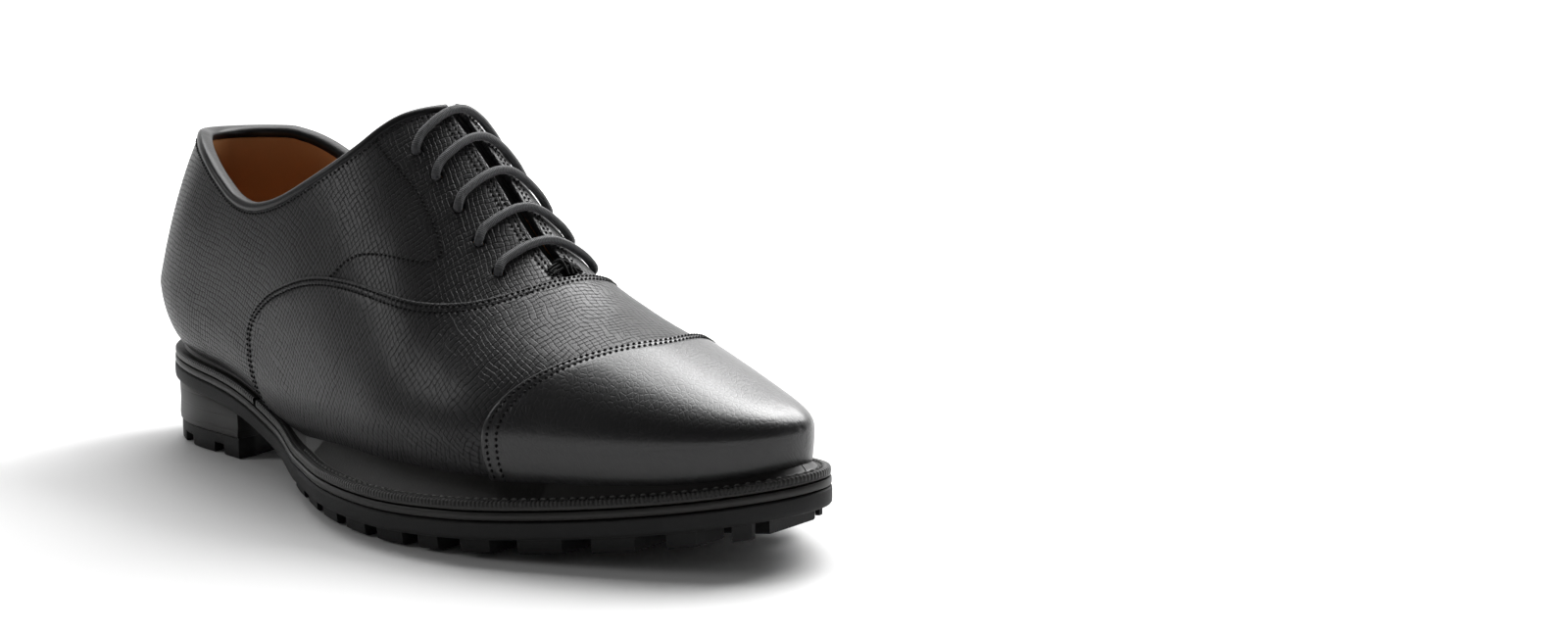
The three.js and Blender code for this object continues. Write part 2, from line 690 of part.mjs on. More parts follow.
// plan outline of the heel with its hollow front face
function heelArea(front) {
  const side = gradeY(60);
  return prism([[-20, -side], [front, -side], [front, gradeY(-26)], [front - 4, gradeY(-12)], [front - 5, 0],
    [front - 4, gradeY(12)], [front, gradeY(26)], [front, side], [-20, side]], -20, 60, true);
}

function heelBlock() {
  const body = slab(1, -40, -GAP);
  return body.intersect(heelArea(HEEL_LENGTH))
    .intersect(box(-20, 100, -60, 60, TOP_PIECE + GAP, 60))
    .subtract(nailHoles(1.6));
}

function heelTopPiece() {
  const middle = (HEEL_LENGTH - 7) / 2;
  const notches = [[middle - 4, middle + 4], [HEEL_LENGTH - 17, HEEL_LENGTH - 11]].flatMap(([a, b]) => [
    box(a, b, -80, gradeY(-24), -5, TOP_PIECE / 2),
    box(a, b, gradeY(24), 80, -5, TOP_PIECE / 2),
  ]);
  notches.push(box(-20, 12, -9, -3, -5, TOP_PIECE / 2), box(-20, 12, 3, 9, -5, TOP_PIECE / 2));
  return slab(1.4, -40, -1).intersect(heelArea(HEEL_LENGTH - 0.5))
    .intersect(box(-20, 100, -60, 60, 0, TOP_PIECE))
    .subtract(Manifold.union(notches));
}

function nail(x, y) {
  const top = soleZ(x) + RUBBER - 0.6;
  const bottom = TOP_PIECE + GAP + 0.5;
  return rod(new THREE.Vector3(x, y, (top + bottom) / 2), new THREE.Vector3(0, 0, 1), 1.3, top - bottom, 8);
}

// ---------------------------------------------------------------- assembly
const group = new THREE.Group();
group.name = 'oxford_shoe';

function piece(name, solid, look) {
  const bodies = solid.simplify(0.03).decompose().sort((a, b) => b.volume() - a.volume());
  const mesh = new THREE.Mesh(toGeometry(bodies[0]), new THREE.MeshStandardMaterial(look));
  mesh.name = name;
  group.add(mesh);
}

piece('heel_top_piece', heelTopPiece(), RUBBER_LOOK);
piece('heel_block', heelBlock(), WELT_LEATHER);
NAILS.forEach(([x, y], i) => piece(`heel_nail_${i + 1}`, nail(x, y), STEEL));
piece('outsole', outsole(), RUBBER_LOOK);
piece('midsole', midsole(), WELT_LEATHER);
piece('welt', welt(), WELT_LEATHER);
piece('heel_rand', heelRand(), WELT_LEATHER);
piece('cork_filler', corkFiller(), CORK);
piece('shank', shank(), STEEL);
piece('insole_rib', insoleRib(), BOARD);
piece('insole', insole(), BOARD);
piece('sock_lining', bed(INNER[0] - GAP - 0.5, 3.3, 4.3), TAN_LEATHER);
piece('heel_grip', heelGrip(), TAN_LEATHER);
piece('quarter_lining_lateral', quarterLining(-1), TAN_LEATHER);
piece('quarter_lining_medial', quarterLining(1), TAN_LEATHER);
piece('vamp_lining', vampLining(), TAN_LEATHER);
piece('heel_counter', heelCounter(), BOARD);
piece('facing_stay_lateral', facingStay(-1), BLACK_LEATHER);
piece('facing_stay_medial', facingStay(1), BLACK_LEATHER);
piece('toe_puff', toePuff(), BOARD);
piece('vamp_doubler', vampDoubler(), BOARD);
piece('quarter_lateral', quarter(-1), BLACK_LEATHER);
piece('quarter_medial', quarter(1), BLACK_LEATHER);
piece('vamp', vamp(), BLACK_LEATHER);
piece('toe_cap', toeCap(), BLACK_LEATHER);
piece('topline_binding', toplineBinding(), BLACK_LEATHER);
const TONGUE_TOP = LACE_IN - LACE_RADIUS - 1.1;
piece('tongue', tongueLayer(TONGUE_TOP - LEATHER, TONGUE_TOP, 0), BLACK_LEATHER);
piece('tongue_lining', tongueLayer(TONGUE_TOP - 2 * LEATHER - GAP, TONGUE_TOP - LEATHER - GAP, 0.6), TAN_LEATHER);
EYELETS.forEach((e, k) => {
  piece(`eyelet_lateral_${k + 1}`, eyelet(k, -1), STEEL);
  piece(`eyelet_medial_${k + 1}`, eyelet(k, 1), STEEL);
});
piece('lace', lace(), CORD);
piece('aglet_lateral', aglet(-1), CORD);
piece('aglet_medial', aglet(1), CORD);
piece('throat_bar_tack', barTack(), CORD);

export default group;
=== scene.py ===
# A right-foot cap-toe oxford shoe of black grained leather on a lugged rubber sole.
# It is put together here in the order in which a welted shoe is made: lining, stiffeners, uppers
# and stitching on the last, then insole, welt, sole and heel, and last of all the lace.
from math import cos, sin, pi
import bpy
import numpy as np
from mathutils import Matrix, Vector


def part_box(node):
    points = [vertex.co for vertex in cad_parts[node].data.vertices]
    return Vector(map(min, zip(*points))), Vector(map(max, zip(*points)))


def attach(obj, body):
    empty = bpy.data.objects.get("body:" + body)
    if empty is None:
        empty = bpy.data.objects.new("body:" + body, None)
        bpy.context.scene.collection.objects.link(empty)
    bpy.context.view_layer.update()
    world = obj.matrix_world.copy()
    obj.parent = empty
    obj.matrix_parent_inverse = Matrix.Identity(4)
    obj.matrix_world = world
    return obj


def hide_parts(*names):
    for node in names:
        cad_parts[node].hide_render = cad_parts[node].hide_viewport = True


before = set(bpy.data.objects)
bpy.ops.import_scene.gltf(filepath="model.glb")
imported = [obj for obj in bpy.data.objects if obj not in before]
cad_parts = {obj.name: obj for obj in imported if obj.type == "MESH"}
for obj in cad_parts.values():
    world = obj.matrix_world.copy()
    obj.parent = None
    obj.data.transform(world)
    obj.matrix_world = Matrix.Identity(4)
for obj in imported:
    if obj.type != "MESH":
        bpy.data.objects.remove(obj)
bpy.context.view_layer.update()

# ------------------------------------------------------------------ viewpoint
# The shoe is seen from its outer side and a little above, from in front of the toe, the way it
# would be laid out on a shop table. Depth of field is off.
eye = Vector((0.5708, -0.3652, 0.1454))
yaw, pitch, roll = 2.2700, -0.1190, -0.0050
forward = Vector((cos(yaw) * cos(pitch), sin(yaw) * cos(pitch), sin(pitch)))
level = Vector((sin(yaw), -cos(yaw), 0))
above = level.cross(forward)
right = cos(roll) * level + sin(roll) * above
up = cos(roll) * above - sin(roll) * level
lens = bpy.data.cameras.new("viewpoint")
lens.lens = 40.65
lens.sensor_width = 36
lens.shift_x = -0.0192
lens.shift_y = -0.0452
lens.clip_start = 0.01
viewpoint = bpy.data.objects.new("viewpoint", lens)
viewpoint.matrix_world = Matrix((
    (right.x, up.x, -forward.x, eye.x),
    (right.y, up.y, -forward.y, eye.y),
    (right.z, up.z, -forward.z, eye.z),
    (0, 0, 0, 1)))
bpy.context.scene.collection.objects.link(viewpoint)
bpy.context.scene.camera = viewpoint

# ------------------------------------------------------------------ linings
# Smooth tan calf lines the shoe: a heel grip behind, two quarter linings and a vamp lining that
# reaches the toe. They lie innermost on the last, whose shape is worked out here in millimetres,
# with x measured from the back of the outsole.
STATION = np.array([0, .06, .13, .22, .32, .42, .52, .62, .72, .82, .92, 1])
SOLE_RISE = np.array([24, 22.5, 20.5, 16.5, 8.5, 4.5, 4.5, 4.5, 5.5, 7.5, 11, 15])
SOLE_SIDE = {-1: np.array([34, 34, 34, 35, 39, 51, 62, 66, 62, 53, 45.5, 42]),
             1: np.array([34, 34, 33.5, 31, 29.5, 31, 37, 44, 45.5, 41, 36, 33])}
FEATHER_SIDE = {-1: np.array([29, 29, 29, 30, 33, 38, 43.5, 47.5, 46.5, 40, 35.5, 32]),
                1: np.array([29, 29, 28, 26, 24, 25, 29, 34.5, 35.5, 31.5, 27, 24.5])}
WIDE_SIDE = {-1: np.array([35, 35, 35, 36.5, 39.5, 44, 49, 52.5, 51, 44, 39, 36]),
             1: np.array([35, 35, 34.5, 33.5, 33, 34, 37, 40, 39.2, 34, 29.5, 27])}
WIDE_UP = np.array([24, 24, 23, 21, 19, 17.5, 16, 15, 14, 13, 12, 11])
RIDGE_RISE = np.array([132, 133.1, 134.2, 136.4, 137.6, 130, 108.6, 80.6, 63.8, 54.7, 47.5, 43])
FULLNESS = np.array([2.3, 2.3, 2.3, 2.3, 2.2, 1.9, 1.75, 1.75, 1.9, 2.05, 2.1, 2.1])
SOLE_BACK = 1
SOLE_LENGTH = 300
FEATHER = 11.4
LOWER = 0.28
LINING = (-4.3, -3.1)
HEEL_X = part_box("outsole")[0].x * 1000 - SOLE_BACK


def table(values, s):
    """a smooth curve through one of the station tables"""
    step = np.diff(STATION)
    slope = np.diff(values) / step
    tangent = np.concatenate([slope[:1], (slope[:-1] * step[1:] + slope[1:] * step[:-1])
                              / (step[1:] + step[:-1]), slope[-1:]])
    tangent[1:-1][slope[:-1] * slope[1:] <= 0] = 0
    i = np.clip(np.searchsorted(STATION, s) - 1, 0, len(step) - 1)
    t = (s - STATION[i]) / step[i]
    u = 1 - t
    return (values[i] * (1 + 2 * t) * u * u + step[i] * tangent[i] * t * u * u
            + values[i + 1] * t * t * (3 - 2 * t) - step[i] * tangent[i + 1] * t * t * u)


def round_ends(s, heel, heel_power, toe, toe_power):
    a = np.clip((heel - s) / heel, 0, 1)
    b = np.clip((s - 1 + toe) / toe, 0, 1)
    return (1 - a ** heel_power) ** (1 / heel_power) * (1 - b ** toe_power) ** (1 / toe_power)


def sole_rise(x):
    return table(SOLE_RISE, np.clip((x - SOLE_BACK) / SOLE_LENGTH, 0, 1))


def last_point(s, w):
    """the upper's outer skin: s runs heel to toe, w from outer feather (-1) over the ridge (0) to inner (1)"""
    s, w = np.broadcast_arrays(np.asarray(s, float), np.asarray(w, float))
    side = np.where(w < 0, -1.0, 1.0)
    v = 1 - np.abs(w)
    x0 = 6 + 284.5 * s
    xw = -7 + 299 * s
    xr = 24 + 268 * s
    z0 = sole_rise(np.clip(x0, 2, 300)) + FEATHER
    zw = z0 + table(WIDE_UP, s)
    end = round_ends(s, .17, 2.2, .3, 2.1)
    b0 = np.where(w < 0, table(FEATHER_SIDE[-1], s), table(FEATHER_SIDE[1], s)) * end
    bw = np.where(w < 0, table(WIDE_SIDE[-1], s), table(WIDE_SIDE[1], s)) * end
    zr = zw + (table(RIDGE_RISE, s) - zw) * round_ends(np.maximum(s, .5), .17, 2.2, .24, 2.3)
    low = np.clip(v / LOWER, 0, 1) * pi / 2
    out = np.sin(low) ** (2 / 1.8)
    lift = 1 - np.cos(low) ** (2 / 1.8)
    high = np.clip((v - LOWER) / (1 - LOWER), 0, 1) * pi / 2
    power = 2 / table(FULLNESS, s)
    across = np.clip(np.cos(high), 0, 1) ** power
    rise = np.sin(high) ** power
    below = v < LOWER
    return np.stack([
        np.where(below, x0 + (xw - x0) * out, xw + (xr - xw) * rise),
        side * np.where(below, b0 + (bw - b0) * out, bw * across),
        np.where(below, z0 + (zw - z0) * lift, zw + (zr - zw) * rise)], -1)


def side_normal(s, v, side):
    e = 1e-3
    s = np.clip(s, 1e-4 + e, 1 - 1e-4 - e)
    v = np.clip(v, 2e-4 + e, 1 - 2e-4 - e)
    along = last_point(s + e, side * (1 - v)) - last_point(s - e, side * (1 - v))
    over = last_point(s, side * (1 - v - e)) - last_point(s, side * (1 - v + e))
    n = np.cross(over, along) * np.asarray(side)[..., None]
    return n / (np.linalg.norm(n, axis=-1, keepdims=True) + 1e-12)


def last_normal(s, w):
    """which way is out; level at the feather and upright in the middle plane"""
    s, w = np.broadcast_arrays(np.asarray(s, float), np.asarray(w, float))
    side = np.where(w < 0, -1.0, 1.0)
    v = 1 - np.abs(w)
    base = np.where(v <= 0, .12, v)
    n = side_normal(s, base, side)
    middle = (s <= 0) | (s >= 1) | (v >= 1 - 1e-9)
    other = side_normal(s, base, -side)
    n = np.where(middle[..., None], (n + other) * [1, 0, 1], n)
    n = np.where((v <= 0)[..., None], n * [1, 1, 0], n)
    return n / (np.linalg.norm(n, axis=-1, keepdims=True) + 1e-12)


def on_last(places, off):
    """points of the upper moved outward by off"""
    p = last_point(places[:, 0], places[:, 1])
    n = last_normal(places[:, 0], places[:, 1])
    q = p + n * np.reshape(off, (-1, 1))
    foot = np.abs(places[:, 1]) > 1 - 1e-6
    q[foot, 2] += (sole_rise(q[:, 0]) - sole_rise(p[:, 0]))[foot]
    return q


ROWS, COLUMNS = 200, 74
s_line = .5 - .5 * np.cos(pi * np.arange(ROWS + 1) / ROWS)
w_line = np.linspace(-1, 1, 2 * COLUMNS + 1)
grid_s, grid_w = np.meshgrid(s_line, w_line, indexing="ij")
last_grid = last_point(grid_s, grid_w)
steps = np.linalg.norm(np.diff(last_grid, axis=1), axis=2)
grid_girth = np.concatenate([np.zeros((ROWS + 1, 1)), np.cumsum(steps, axis=1)], axis=1)
grid_girth -= grid_girth[:, COLUMNS:COLUMNS + 1]
steps = np.linalg.norm(np.diff(last_grid, axis=0), axis=2)
grid_along = np.concatenate([np.zeros((1, 2 * COLUMNS + 1)), np.cumsum(steps, axis=0)], axis=0)
grid_along -= grid_along[ROWS // 2]


def from_grid(values, places):
    """reads a value of the last's grid between its lines"""
    a = np.clip(np.arccos(np.clip(1 - 2 * places[:, 0], -1, 1)) / pi * ROWS, 0, ROWS - 1e-6)
    b = np.clip((places[:, 1] + 1) * COLUMNS, 0, 2 * COLUMNS - 1e-6)
    i, j = a.astype(int), b.astype(int)
    f, g = a - i, b - j
    return ((values[i, j] * (1 - g) + values[i, j + 1] * g) * (1 - f)
            + (values[i + 1, j] * (1 - g) + values[i + 1, j + 1] * g) * f)


def whole_last():
    index = np.arange((ROWS + 1) * (2 * COLUMNS + 1)).reshape(ROWS + 1, -1)
    a, b, c, d = index[:-1, :-1], index[:-1, 1:], index[1:, 1:], index[1:, :-1]
    faces = np.concatenate([np.stack([a, d, c], -1).reshape(-1, 3), np.stack([a, c, b], -1).reshape(-1, 3)])
    return np.stack([grid_s.ravel(), grid_w.ravel()], -1), faces


def crossings(places, faces, height):
    """new places where face edges cross height 0, with a way to look them up by edge"""
    up_side = height > 0
    edges = np.concatenate([faces[:, [0, 1]], faces[:, [1, 2]], faces[:, [2, 0]]])
    edges = edges[up_side[edges[:, 0]] != up_side[edges[:, 1]]]
    keys = np.unique(edges.min(1) * len(places) + edges.max(1))
    a, b = keys // len(places), keys % len(places)
    t = (height[a] / (height[a] - height[b]))[:, None]
    fresh = places[a] * (1 - t) + places[b] * t

    def found(p, q):
        return np.searchsorted(keys, np.minimum(p, q) * len(places) + np.maximum(p, q))
    return up_side, fresh, found


def cut(places, faces, height, keep_all=False):
    """splits faces along height 0 and keeps those above it, or all of them"""
    height = np.where(np.abs(height) < 1e-6, 1e-6, height)
    up_side, fresh, found = crossings(places, faces, height)
    count = up_side[faces].sum(1)
    kept = [faces[count == 3]]
    if keep_all:
        kept.append(faces[count == 0])
    for lone_up in (True, False):
        tris = faces[count == (1 if lone_up else 2)]
        if not len(tris):
            continue
        turn = np.argmax(up_side[tris] == lone_up, axis=1)
        a, b, c = (np.take_along_axis(tris, ((turn + k) % 3)[:, None], 1)[:, 0] for k in range(3))
        p = found(a, b) + len(places)
        q = found(a, c) + len(places)
        if lone_up or keep_all:
            kept.append(np.stack([a, p, q], -1))
        if not lone_up or keep_all:
            kept += [np.stack([p, b, c], -1), np.stack([p, c, q], -1)]
    places = np.concatenate([places, fresh])
    faces = np.concatenate(kept)
    used, faces = np.unique(faces, return_inverse=True)
    return places[used], faces.reshape(-1, 3)


def beside(points, line):
    """distance from points to an open line, positive on its right-hand side"""
    a, b = line[:-1], line[1:]
    best = np.full(len(points), 1e9)
    sign = np.ones(len(points))
    for p, q in zip(a, b):
        d = q - p
        t = (points - p) @ d / (d @ d)
        r = points - p - np.clip(t, 0, 1)[:, None] * d
        gap = np.hypot(r[:, 0], r[:, 1])
        closer = gap < best - 1e-9
        best[closer] = gap[closer]
        sign[closer] = np.sign(d[1] * r[:, 0] - d[0] * r[:, 1])[closer]
    return best * np.where(sign == 0, 1, sign)


def flowing(points, parts=6):
    """a smooth line through drawn points"""
    p = np.array(points, float)
    p = np.concatenate([2 * p[:1] - p[1:2], p, 2 * p[-1:] - p[-2:-1]])
    out = []
    for i in range(1, len(p) - 2):
        for t in np.arange(parts) / parts:
            out.append(.5 * (2 * p[i] + (p[i + 1] - p[i - 1]) * t
                             + (2 * p[i - 1] - 5 * p[i] + 4 * p[i + 1] - p[i + 2]) * t * t
                             + (3 * p[i] - p[i - 1] - 3 * p[i + 1] + p[i + 2]) * t ** 3))
    return np.array(out + [p[-2]])


TOPLINE = flowing([(-40, 113), (20, 113), (32, 111.5), (44, 106.5), (58, 98.5), (70, 92.5), (82, 90.5), (95, 92.5),
                   (107, 97), (121, 104.5), (130, 111), (135, 116.5), (139, 120.5), (143, 122.8), (147, 124.2),
                   (151, 125.5), (175, 128)], 4)
VAMP_SEAM = flowing([(91, -20), (91, 12), (88, 28), (85.5, 44), (87, 51), (91, 56), (99, 61.5), (109, 65.5),
                     (121, 68.8), (133, 70.2), (145, 70), (155, 69), (165, 67.5), (175, 66), (184, 65.5),
                     (193, 66.3), (200, 69), (205, 74), (206, 84), (206, 100), (206, 130), (206, 180)], 4)
side_view = last_grid.reshape(-1, 3)[:, [0, 2]]
grid_topline = beside(side_view, TOPLINE).reshape(grid_s.shape)
grid_vamp = beside(side_view, VAMP_SEAM).reshape(grid_s.shape)


def under_topline(places):
    return from_grid(grid_topline, places)


def in_vamp(places):
    return from_grid(grid_vamp, places)


def x_of(places):
    return last_point(places[:, 0], places[:, 1])[:, 0]


def y_of(places):
    return last_point(places[:, 0], places[:, 1])[:, 1]


def outer_side(places):
    return -places[:, 1] + 1e-9


def inner_side(places):
    return places[:, 1] + 1e-9


def metres(points):
    return (np.asarray(points, float) + [HEEL_X, 0, 0]) / 1000


def mesh_piece(name, points, faces, finish, lay=None, body="shoe", slot=None, stands_for=(), crease=38):
    """one mesh object from points in millimetres, riding on its body"""
    mesh = bpy.data.meshes.new(name)
    mesh.from_pydata(metres(points).tolist(), [], [list(map(int, f)) for f in faces])
    mesh.validate()
    if lay is not None:
        layer = mesh.attributes.new("lay", "FLOAT_VECTOR", "POINT")
        layer.data.foreach_set("vector", np.asarray(lay, np.float32).ravel())
    mesh.shade_smooth()
    mesh.set_sharp_from_angle(angle=crease * pi / 180)
    mesh.materials.append(finish)
    made = bpy.data.objects.new(name, mesh)
    bpy.context.scene.collection.objects.link(made)
    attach(made, body)
    if stands_for:
        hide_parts(*stands_for)


def rounding(distance, radius):
    """how far a skived edge drops at a distance from the cut"""
    t = 1 - np.clip(distance / radius, 0, 1)
    return radius * (1 - np.sqrt(np.clip(1 - t * t, 0, 1)))


ROW_DEPTH = .16
ROW_WIDTH = .4
sheet_of = {}


def leather_sheet(name, layer, cuts, finish, round_edges=(), radius=.6, rows=(), **said):
    """a piece of leather lasted to shape: cut out along the given edges, with real thickness, edges
    rounded over and shallow channels where rows of stitches pull it down"""
    places, faces = whole_last()
    for edge in cuts:
        places, faces = cut(places, faces, edge(places))
    for edge in round_edges:
        for depth in (.12 * radius, .4 * radius, radius):
            places, faces = cut(places, faces, edge(places) - depth, True)
    for edge, depth in rows:
        for d in (depth - .45, depth, depth + .45):
            places, faces = cut(places, faces, edge(places) - d, True)
    drop = sum((rounding(edge(places), radius) for edge in round_edges), np.zeros(len(places)))
    for edge, depth in rows:
        drop = drop + ROW_DEPTH * np.exp(-((edge(places) - depth) / ROW_WIDTH) ** 2)
    sheet_of[name] = (places, faces)
    base = last_point(places[:, 0], places[:, 1])
    same, merged = np.unique(np.round(base, 3), axis=0, return_inverse=True)
    merged = merged.ravel()
    first = np.zeros(len(same), int)
    first[merged[::-1]] = np.arange(len(places))[::-1]
    faces = merged[faces]
    faces = faces[(faces[:, 0] != faces[:, 1]) & (faces[:, 1] != faces[:, 2]) & (faces[:, 2] != faces[:, 0])]
    places, drop = places[first], drop[first]
    top = on_last(places, layer[1] - np.minimum(drop, (layer[1] - layer[0]) * .8))
    under = on_last(places, np.full(len(places), float(layer[0])))
    n = last_normal(places[:, 0], places[:, 1])
    tri = top[faces]
    facing = np.einsum("ij,ij->i", np.cross(tri[:, 1] - tri[:, 0], tri[:, 2] - tri[:, 0]), n[faces].sum(1))
    faces = np.where((facing < 0)[:, None], faces[:, ::-1], faces)
    half = np.concatenate([faces[:, [0, 1]], faces[:, [1, 2]], faces[:, [2, 0]]])
    seen = set(map(tuple, half.tolist()))
    rim = [(a, b) for a, b in half.tolist() if (b, a) not in seen]
    count = len(places)
    everything = faces.tolist() + (faces[:, ::-1] + count).tolist()
    everything += [(b, a, a + count, b + count) for a, b in rim]
    lay = np.stack([from_grid(grid_along, places), from_grid(grid_girth, places), drop], -1) / 1000
    mesh_piece(name, np.concatenate([top, under]), everything, finish, np.concatenate([lay, lay]), **said)


class Wire:
    """an output of a material's nodes, which can be used in sums"""

    def __init__(self, tree, socket=None):
        self.tree = tree
        self.socket = socket

    def node(self, kind, settings=None, sockets=None, out=0):
        made = self.tree.nodes.new("ShaderNode" + kind)
        for key, value in (settings or {}).items():
            setattr(made, key, value)
        for key, value in (sockets or {}).items():
            if isinstance(value, Wire):
                self.tree.links.new(value.socket, made.inputs[key])
            else:
                made.inputs[key].default_value = value
        return Wire(self.tree, made.outputs[out]) if len(made.outputs) else None

    def math(self, operation, *values):
        return self.node("Math", {"operation": operation}, dict(enumerate(values)))

    def put_through(self, operation):
        return self.math(operation, self)

    def axis(self, number):
        return self.node("SeparateXYZ", None, {"Vector": self}, number)

    def lay(self):
        """where a point lies on its piece: along it, round it and below its face, in metres"""
        return self.node("Attribute", {"attribute_name": "lay"}, out=1)

    def place(self):
        return self.node("TexCoord", out=3)

    def __add__(self, other):
        return self.math("ADD", self, other)

    def __radd__(self, other):
        return self.math("ADD", other, self)

    def __sub__(self, other):
        return self.math("SUBTRACT", self, other)

    def __rsub__(self, other):
        return self.math("SUBTRACT", other, self)

    def __mul__(self, other):
        return self.math("MULTIPLY", self, other)

    def __rmul__(self, other):
        return self.math("MULTIPLY", other, self)

    def __truediv__(self, other):
        return self.math("DIVIDE", self, other)

    def between(self, low, high):
        """0 below low, 1 above high, smooth between"""
        return self.node("MapRange", {"interpolation_type": "SMOOTHSTEP"},
                         {"Value": self, "From Min": low, "From Max": high})

    def tint(self, first, second):
        """first colour where this is 0, second where it is 1"""
        return self.node("Mix", {"data_type": "RGBA"}, {0: self, 6: first, 7: second}, 2)

    def clouds(self, place, scale, detail=3.0, rough=.5):
        return self.node("TexNoise", None,
                         {"Vector": place, "Scale": scale, "Detail": detail, "Roughness": rough})


def new_finish(name):
    """an empty material and a wire to start its nodes from"""
    finish = bpy.data.materials.new(name)
    finish.use_nodes = True
    finish.node_tree.nodes.clear()
    return finish, Wire(finish.node_tree)


def close_finish(ink, colour, rough, height=None, bump=.0002, **fixed):
    """the shader of a finish, its relief given as a height between 0 and 1 that is bump metres deep"""
    sockets = {"Base Color": colour, "Roughness": rough}
    sockets.update({key.replace("_", " "): value for key, value in fixed.items()})
    if height is not None:
        sockets["Normal"] = ink.node("Bump", None, {"Strength": 1.0, "Distance": bump, "Height": height})
    shader = ink.node("BsdfPrincipled", None, sockets)
    ink.node("OutputMaterial", None, {"Surface": shader})


def lining_calf():
    finish, ink = new_finish("tan_lining_calf")
    place = ink.place()
    pores = ink.node("TexVoronoi", None, {"Vector": place, "Scale": 900.0})
    cloudy = ink.clouds(place, 38, 4)
    worn = ink.clouds(place, 9, 2).between(.35, .75)
    # Where a lining is rounded down at a cut edge (only the quarter linings' facing edges are), its colour goes
    # near black: painted shade in the facing gap.
    painted_edge_shade = ink.lay().axis(2).between(.00001, .00012)
    colour = worn.tint(cloudy.tint((.40, .19, .075, 1), (.50, .255, .11, 1)), (.33, .15, .06, 1))
    colour = painted_edge_shade.tint(colour, (.006, .006, .006, 1))
    close_finish(ink, colour, .5 + cloudy * .16, pores * .35 + cloudy, .00012, Specular_IOR_Level=.4)
    return finish


tan_calf = lining_calf()
LINING_TRIM = 3.2
HEEL_GRIP_FRONT = 46
leather_sheet("heel_grip_lining", LINING,
              [lambda p: HEEL_GRIP_FRONT - x_of(p), lambda p: under_topline(p) - LINING_TRIM], tan_calf,
              slot="tan_leather", stands_for=["heel_grip"])
HALF_GAP = 2.4
OPENING_MIDDLE = 100
QUARTER_LINING_LAP = 11.9
VAMP_LINING_LAP = 12.6


def facing_edge(places):
    """distance outside the facing gap, which lies only in front of the opening"""
    return np.where(x_of(places) < OPENING_MIDDLE, 9.0, np.abs(y_of(places)) - HALF_GAP)


for mark, half in (("lateral", outer_side), ("medial", inner_side)):
    leather_sheet("quarter_lining_calf_" + mark, LINING,
                  [half, lambda p: x_of(p) - HEEL_GRIP_FRONT - .3, lambda p: under_topline(p) - LINING_TRIM,
                   facing_edge, lambda p: QUARTER_LINING_LAP - in_vamp(p)], tan_calf, [facing_edge], 1.6,
                  slot="tan_leather", stands_for=["quarter_lining_" + mark])
leather_sheet("vamp_lining_calf", LINING, [lambda p: in_vamp(p) - VAMP_LINING_LAP], tan_calf,
              slot="tan_leather", stands_for=["vamp_lining"])

# ------------------------------------------------------------------ stiffeners
# Fibre board and canvas between lining and leather: the heel counter, the toe puff, the vamp
# doubler and the black canvas stays behind the eyelets. The insole and its sewing rib are of the
# same board. All are hidden in the finished shoe.


def fibre_board(name, dark, light):
    finish, ink = new_finish(name)
    place = ink.place()
    fibres = ink.clouds(place, 420, 5, .7)
    colour = fibres.tint(dark, light)
    close_finish(ink, colour, .8 + fibres * .12, fibres, .0001)
    return finish


def carry_over(nodes, finish):
    """keeps CAD solids as they are and gives them a real finish"""
    for node in nodes:
        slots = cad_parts[node].data.materials
        slots.clear()
        slots.append(finish)


board = fibre_board("fibre_board", (.30, .20, .12, 1), (.46, .34, .22, 1))
black_backing = fibre_board("black_backing_canvas", (.004, .004, .004, 1), (.010, .010, .010, 1))
carry_over(["heel_counter", "toe_puff", "vamp_doubler", "insole", "insole_rib"], board)
carry_over(["facing_stay_lateral", "facing_stay_medial"], black_backing)

# ------------------------------------------------------------------ quarters
# Two quarters of black calf embossed with a fine crossing grain, closed at the heel. Each is cut
# back from the throat by half the facing gap and pierced with five blind eyelet holes.
EYELETS = [(150.5, 17.8), (160.2, 17.8), (170.8, 18), (180.8, 18.4), (190.6, 19.2)]
EYELET_HOLE = 1.95
QUARTER = (-1.3, 0)
QUARTER_LAP = 8
BINDING_BAND = 3.0
FACING_ROWS = (2.3, 4.4)


def over_plan(x, y, off=0.0):
    """the place on the upper, moved outward by off, that lies over a plan position"""
    near = (last_grid[..., 0] - x) ** 2 + (last_grid[..., 1] - y) ** 2 + np.where(np.abs(grid_w) > .7, 1e6, 0)
    i, j = np.unravel_index(np.argmin(near), near.shape)
    at = np.array([grid_s[i, j], grid_w[i, j]])
    for _ in range(12):
        e = 5e-4
        trial = np.stack([at, at + [e, 0], at + [0, e]])
        q = last_point(trial[:, 0], trial[:, 1]) + last_normal(trial[:, 0], trial[:, 1]) * off
        miss = np.array([x, y]) - q[0, :2]
        jacobian = np.stack([q[1, :2] - q[0, :2], q[2, :2] - q[0, :2]], -1) / e
        at = at + np.clip(np.linalg.lstsq(jacobian, miss, rcond=None)[0], -.03, .03)
        if y != 0:
            at[1] = np.sign(y) * np.clip(abs(at[1]), 1e-4, .72)
    q = last_point(at[0], at[1]) + last_normal(at[0], at[1]) * off
    return q, last_normal(at[0], at[1])


eyelet_axis = {}
for number, (x, y) in enumerate(EYELETS):
    for side in (-1, 1):
        eyelet_axis[number, side] = over_plan(x, side * y)


def eyelet_gap(side, hole):
    """distance outside the rims of the eyelet holes on one side"""
    def gap(places):
        p = last_point(places[:, 0], places[:, 1])
        nearest = np.full(len(places), 1e3)
        for number in range(len(EYELETS)):
            centre, axis = eyelet_axis[number, side]
            r = p - centre
            out = np.linalg.norm(r - (r @ axis)[:, None] * axis, axis=1) - hole
            nearest = np.where(np.abs(r @ axis) < 12, np.minimum(nearest, out), nearest)
        return nearest
    return gap


